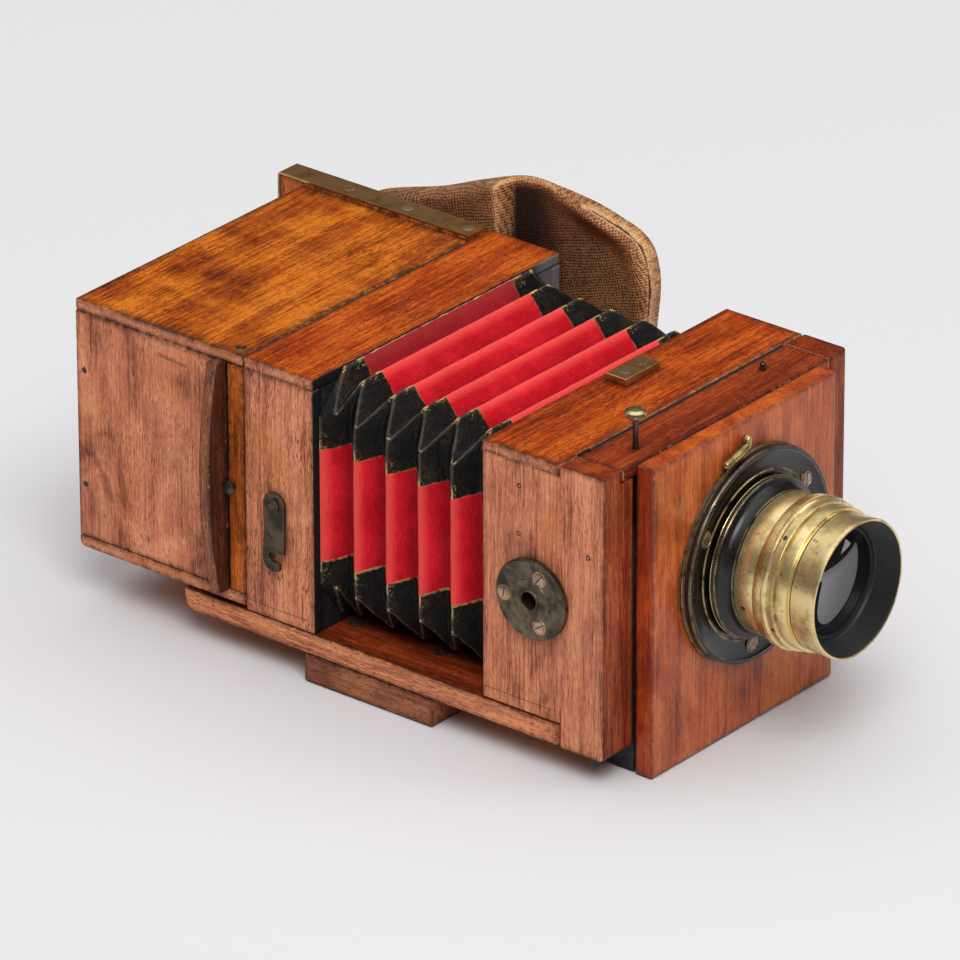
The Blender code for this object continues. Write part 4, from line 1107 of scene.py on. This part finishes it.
def build_marks():
    """Joint lines and scratches that lie on the boards' left and upper faces."""
    for name, body, look, x, width, path in (
        ("rear_joint_low", "rear_frame", SEAM_DARK, REAR_SIDE, 0.18, ((46, 23.6), (58, 23.4), (73, 23.6))),
        ("rear_pale_scratch_1", "rear_frame", SCRATCH, REAR_SIDE, 0.42, ((66, 114.4), (66.2, 105))),
        ("rear_pale_scratch_2", "rear_frame", SCRATCH, REAR_SIDE, 0.36, ((48.2, 114.4), (48.0, 105), (48.3, 99))),
        ("rear_dark_line", "rear_frame", SEAM_DARK, REAR_SIDE, 0.22, ((66.5, 40), (66.4, 28), (66.7, 21))),
        ("rear_dark_line_2", "rear_frame", SEAM_DARK, REAR_SIDE, 0.3, ((49.0, 33), (48.8, 22))),
        ("front_pale_scratch_1", "base", SCRATCH, FRONT_SIDE, 0.34, ((-36.0, 114.4), (-36.2, 100), (-36.0, 92))),
        ("front_pale_scratch_2", "base", SCRATCH, FRONT_SIDE, 0.34, ((-50.5, 114.4), (-50.7, 102), (-50.5, 88))),
        ("front_joint_low", "base", SEAM_DARK, FRONT_SIDE, 0.2, ((-30, 23.6), (-45, 23.5), (-61, 23.6))),
        ("front_dark_line", "base", SEAM_DARK, FRONT_SIDE, 0.25, ((-54.5, 33), (-54.7, 20))),
    ):
        ribbon(name, [(x, y, z) for y, z in path], width, LEFT, look, body)
    for name, body, z, width, path in (
        ("box_joint", "rear_frame", REAR_TOP, 0.5, ((-66.5, 73.74), (-20, 73.76), (54.0, 73.74))),
        ("inset_line_1", "base", FRONT_TOP, 0.22, ((37.35, -67.1), (37.35, -80.6))),
        ("inset_line_2", "base", FRONT_TOP, 0.22, ((37.35, -67.1), (55.7, -67.1))),
        ("rail_line", "base", FRONT_TOP, 0.22, ((-55.0, -77.9), (-20, -77.6), (37.0, -77.8))),
    ):
        ribbon(name, [(x, y, z) for x, y in path], width, UP, SEAM_DARK, body)


def slab(name, low, high, material, body):
    points = [(x, y, z) for x in (low[0], high[0]) for y in (low[1], high[1]) for z in (low[2], high[2])]
    faces = [(0, 1, 3, 2), (4, 6, 7, 5), (0, 4, 5, 1), (2, 3, 7, 6), (0, 2, 6, 4), (1, 5, 7, 3)]
    mesh_object(name, points, faces, material, body, smooth=False)


def build_fillers():
    """Wood that closes the fine gaps between boards glued in the real body, black sheets that paint the shadow in a
    slot, and a torn edge.
    """
    for name, body, like, low, high in (
        ("front_joint_left", "base", "front_side_left", (-66.23, -63.2, 19.7), (-64.0, -61.3, 110.2)),
        ("front_joint_right", "base", "front_side_right", (64.0, -62.5, 19.4), (66.18, -62.0, 110.6)),
        ("front_top_joint_left", "base", "front_side_left", (-66.2, -61.9, 110.6), (-63.0, -29.9, 111.1)),
        ("rear_top_joint_left", "rear_frame", "rear_side_left", (-66.6, 46.2, 110.3), (-63.0, 73.9, 110.8)),
        ("box_top_joint_left", "changing_box", "box_side", (-66.6, 86.9, 110.3), (-63.0, 149.0, 110.8)),
        ("grip_root", "sheath_slide", "slide_grip", (-67.3, 81.85, 24.4), (-66.2, 82.2, 111.0)),
        # Painted shadow: black sheets in the slot and on its end.
        ("slot_shadow", "base", None, (-49.5, -63.25, 113.7), (55.6, -61.65, 114.5)),
        ("slot_end_shade", "base", None, (-55.5, -62.5, 114.9), (-49.5, -61.75, 115.22)),
    ):
        slab(name, low, high, nodes[like].data.materials[0] if like else PAINTED_SLOT_SHADOW, body)
    path, widths = [], []
    for i in range(60):
        x = -41 + 82 * i / 59
        path.append((x, 42.9, 114.5 + 0.3 * noise.noise(Vector((x * 0.35, 0, 0)))))
        widths.append(max(0.05, 0.22 + 0.7 * noise.noise(Vector((x * 0.22, 5, 0)))))
    ribbon("bellows_torn_edge", path, widths, (0, -1, 0.4), CREAM, "rear_frame")


# --- studio


def build_floor():
    mesh = bpy.data.meshes.new("floor")
    mesh.from_pydata([(-40, -40, 0), (40, -40, 0), (40, 40, 0), (-40, 40, 0)], [], [(0, 1, 2, 3)])
    floor = bpy.data.objects.new("floor", mesh)
    floor.location = (0, 0, -0.0002)
    scene.collection.objects.link(floor)
    look = Look("floor_paper", roughness=0.9)
    look.set("Base Color", (0.725, 0.722, 0.735, 1))
    mesh.materials.append(look.material)


def build_lights():
    """A pale sky that brightens upwards, a large soft key light on the left and a weak fill on the right."""
    scene.world = bpy.data.worlds.new("studio")
    scene.world.use_nodes = True
    tree = scene.world.node_tree
    sky = tree.nodes["Background"]
    spot = tree.nodes.new("ShaderNodeTexCoord")
    parts = tree.nodes.new("ShaderNodeSeparateXYZ")
    ramp = tree.nodes.new("ShaderNodeMapRange")
    ramp.interpolation_type = "SMOOTHSTEP"
    for i, level in enumerate((0.50, 0.97, 0.05, 1.45)):
        ramp.inputs[i + 1].default_value = level
    tree.links.new(spot.outputs["Generated"], parts.inputs[0])
    tree.links.new(parts.outputs["Z"], ramp.inputs[0])
    tree.links.new(ramp.outputs[0], sky.inputs["Strength"])
    sky.inputs["Color"].default_value = (1.0, 1.0, 1.01, 1)
    for name, at, size, power in (("key", (-3.0, -3.1, 5.0), 3.4, 244), ("fill", (3.2, -3.8, 3.6), 3.0, 52)):
        data = bpy.data.lights.new(name, "AREA")
        data.shape, data.size, data.energy = "SQUARE", size, power
        light = bpy.data.objects.new(name, data)
        light.location = at
        light.rotation_euler = (Vector((0, 0, 0.05)) - Vector(at)).to_track_quat("-Z", "Y").to_euler()
        scene.collection.objects.link(light)


PICTURE = 960  # the side of the picture, in pixels


def build_camera():
    """The photograph's camera, as solved from the corners of the boxes, whose height is the unit of its place."""
    az, el, roll = -0.8875960942, 0.4514688418, -0.0021621545
    focal, centre_x, centre_y = 9948.435, 483.468, 467.416  # in pixels
    tall, corner = 0.096, (-0.06665, 0.074, 0.0189)  # in metres
    back = Vector((math.sin(az) * math.cos(el), -math.cos(az) * math.cos(el), math.sin(el)))
    right = Vector((math.cos(az), math.sin(az), 0))
    up = back.cross(right)
    right, up = (math.cos(roll) * right + math.sin(roll) * up, -math.sin(roll) * right + math.cos(roll) * up)
    data = bpy.data.cameras.new("camera")
    data.sensor_width = 36
    data.lens = focal * 36 / PICTURE
    data.shift_x = (PICTURE / 2 - centre_x) / PICTURE
    data.shift_y = (centre_y - PICTURE / 2) / PICTURE
    data.clip_start, data.clip_end = 0.1, 100
    camera = bpy.data.objects.new("camera", data)
    where = [n * tall + start for n, start in zip((-24.06331826, -20.67735948, 15.94206906), corner)]
    camera.matrix_world = Matrix.Translation(where) @ Matrix((right, up, back)).transposed().to_4x4()
    scene.collection.objects.link(camera)
    scene.camera = camera


def smooth_nodes():
    for obj in nodes.values():
        obj.data.shade_smooth()
        obj.data.set_sharp_from_angle(angle=math.radians(38))


smooth_nodes()
dress_wood()
dress_rest()
build_bellows()
build_bag()
build_lens_bodies()
build_lens_details()
build_screws()
build_seats()
build_marks()
build_fillers()
build_floor()
build_lights()
build_camera()
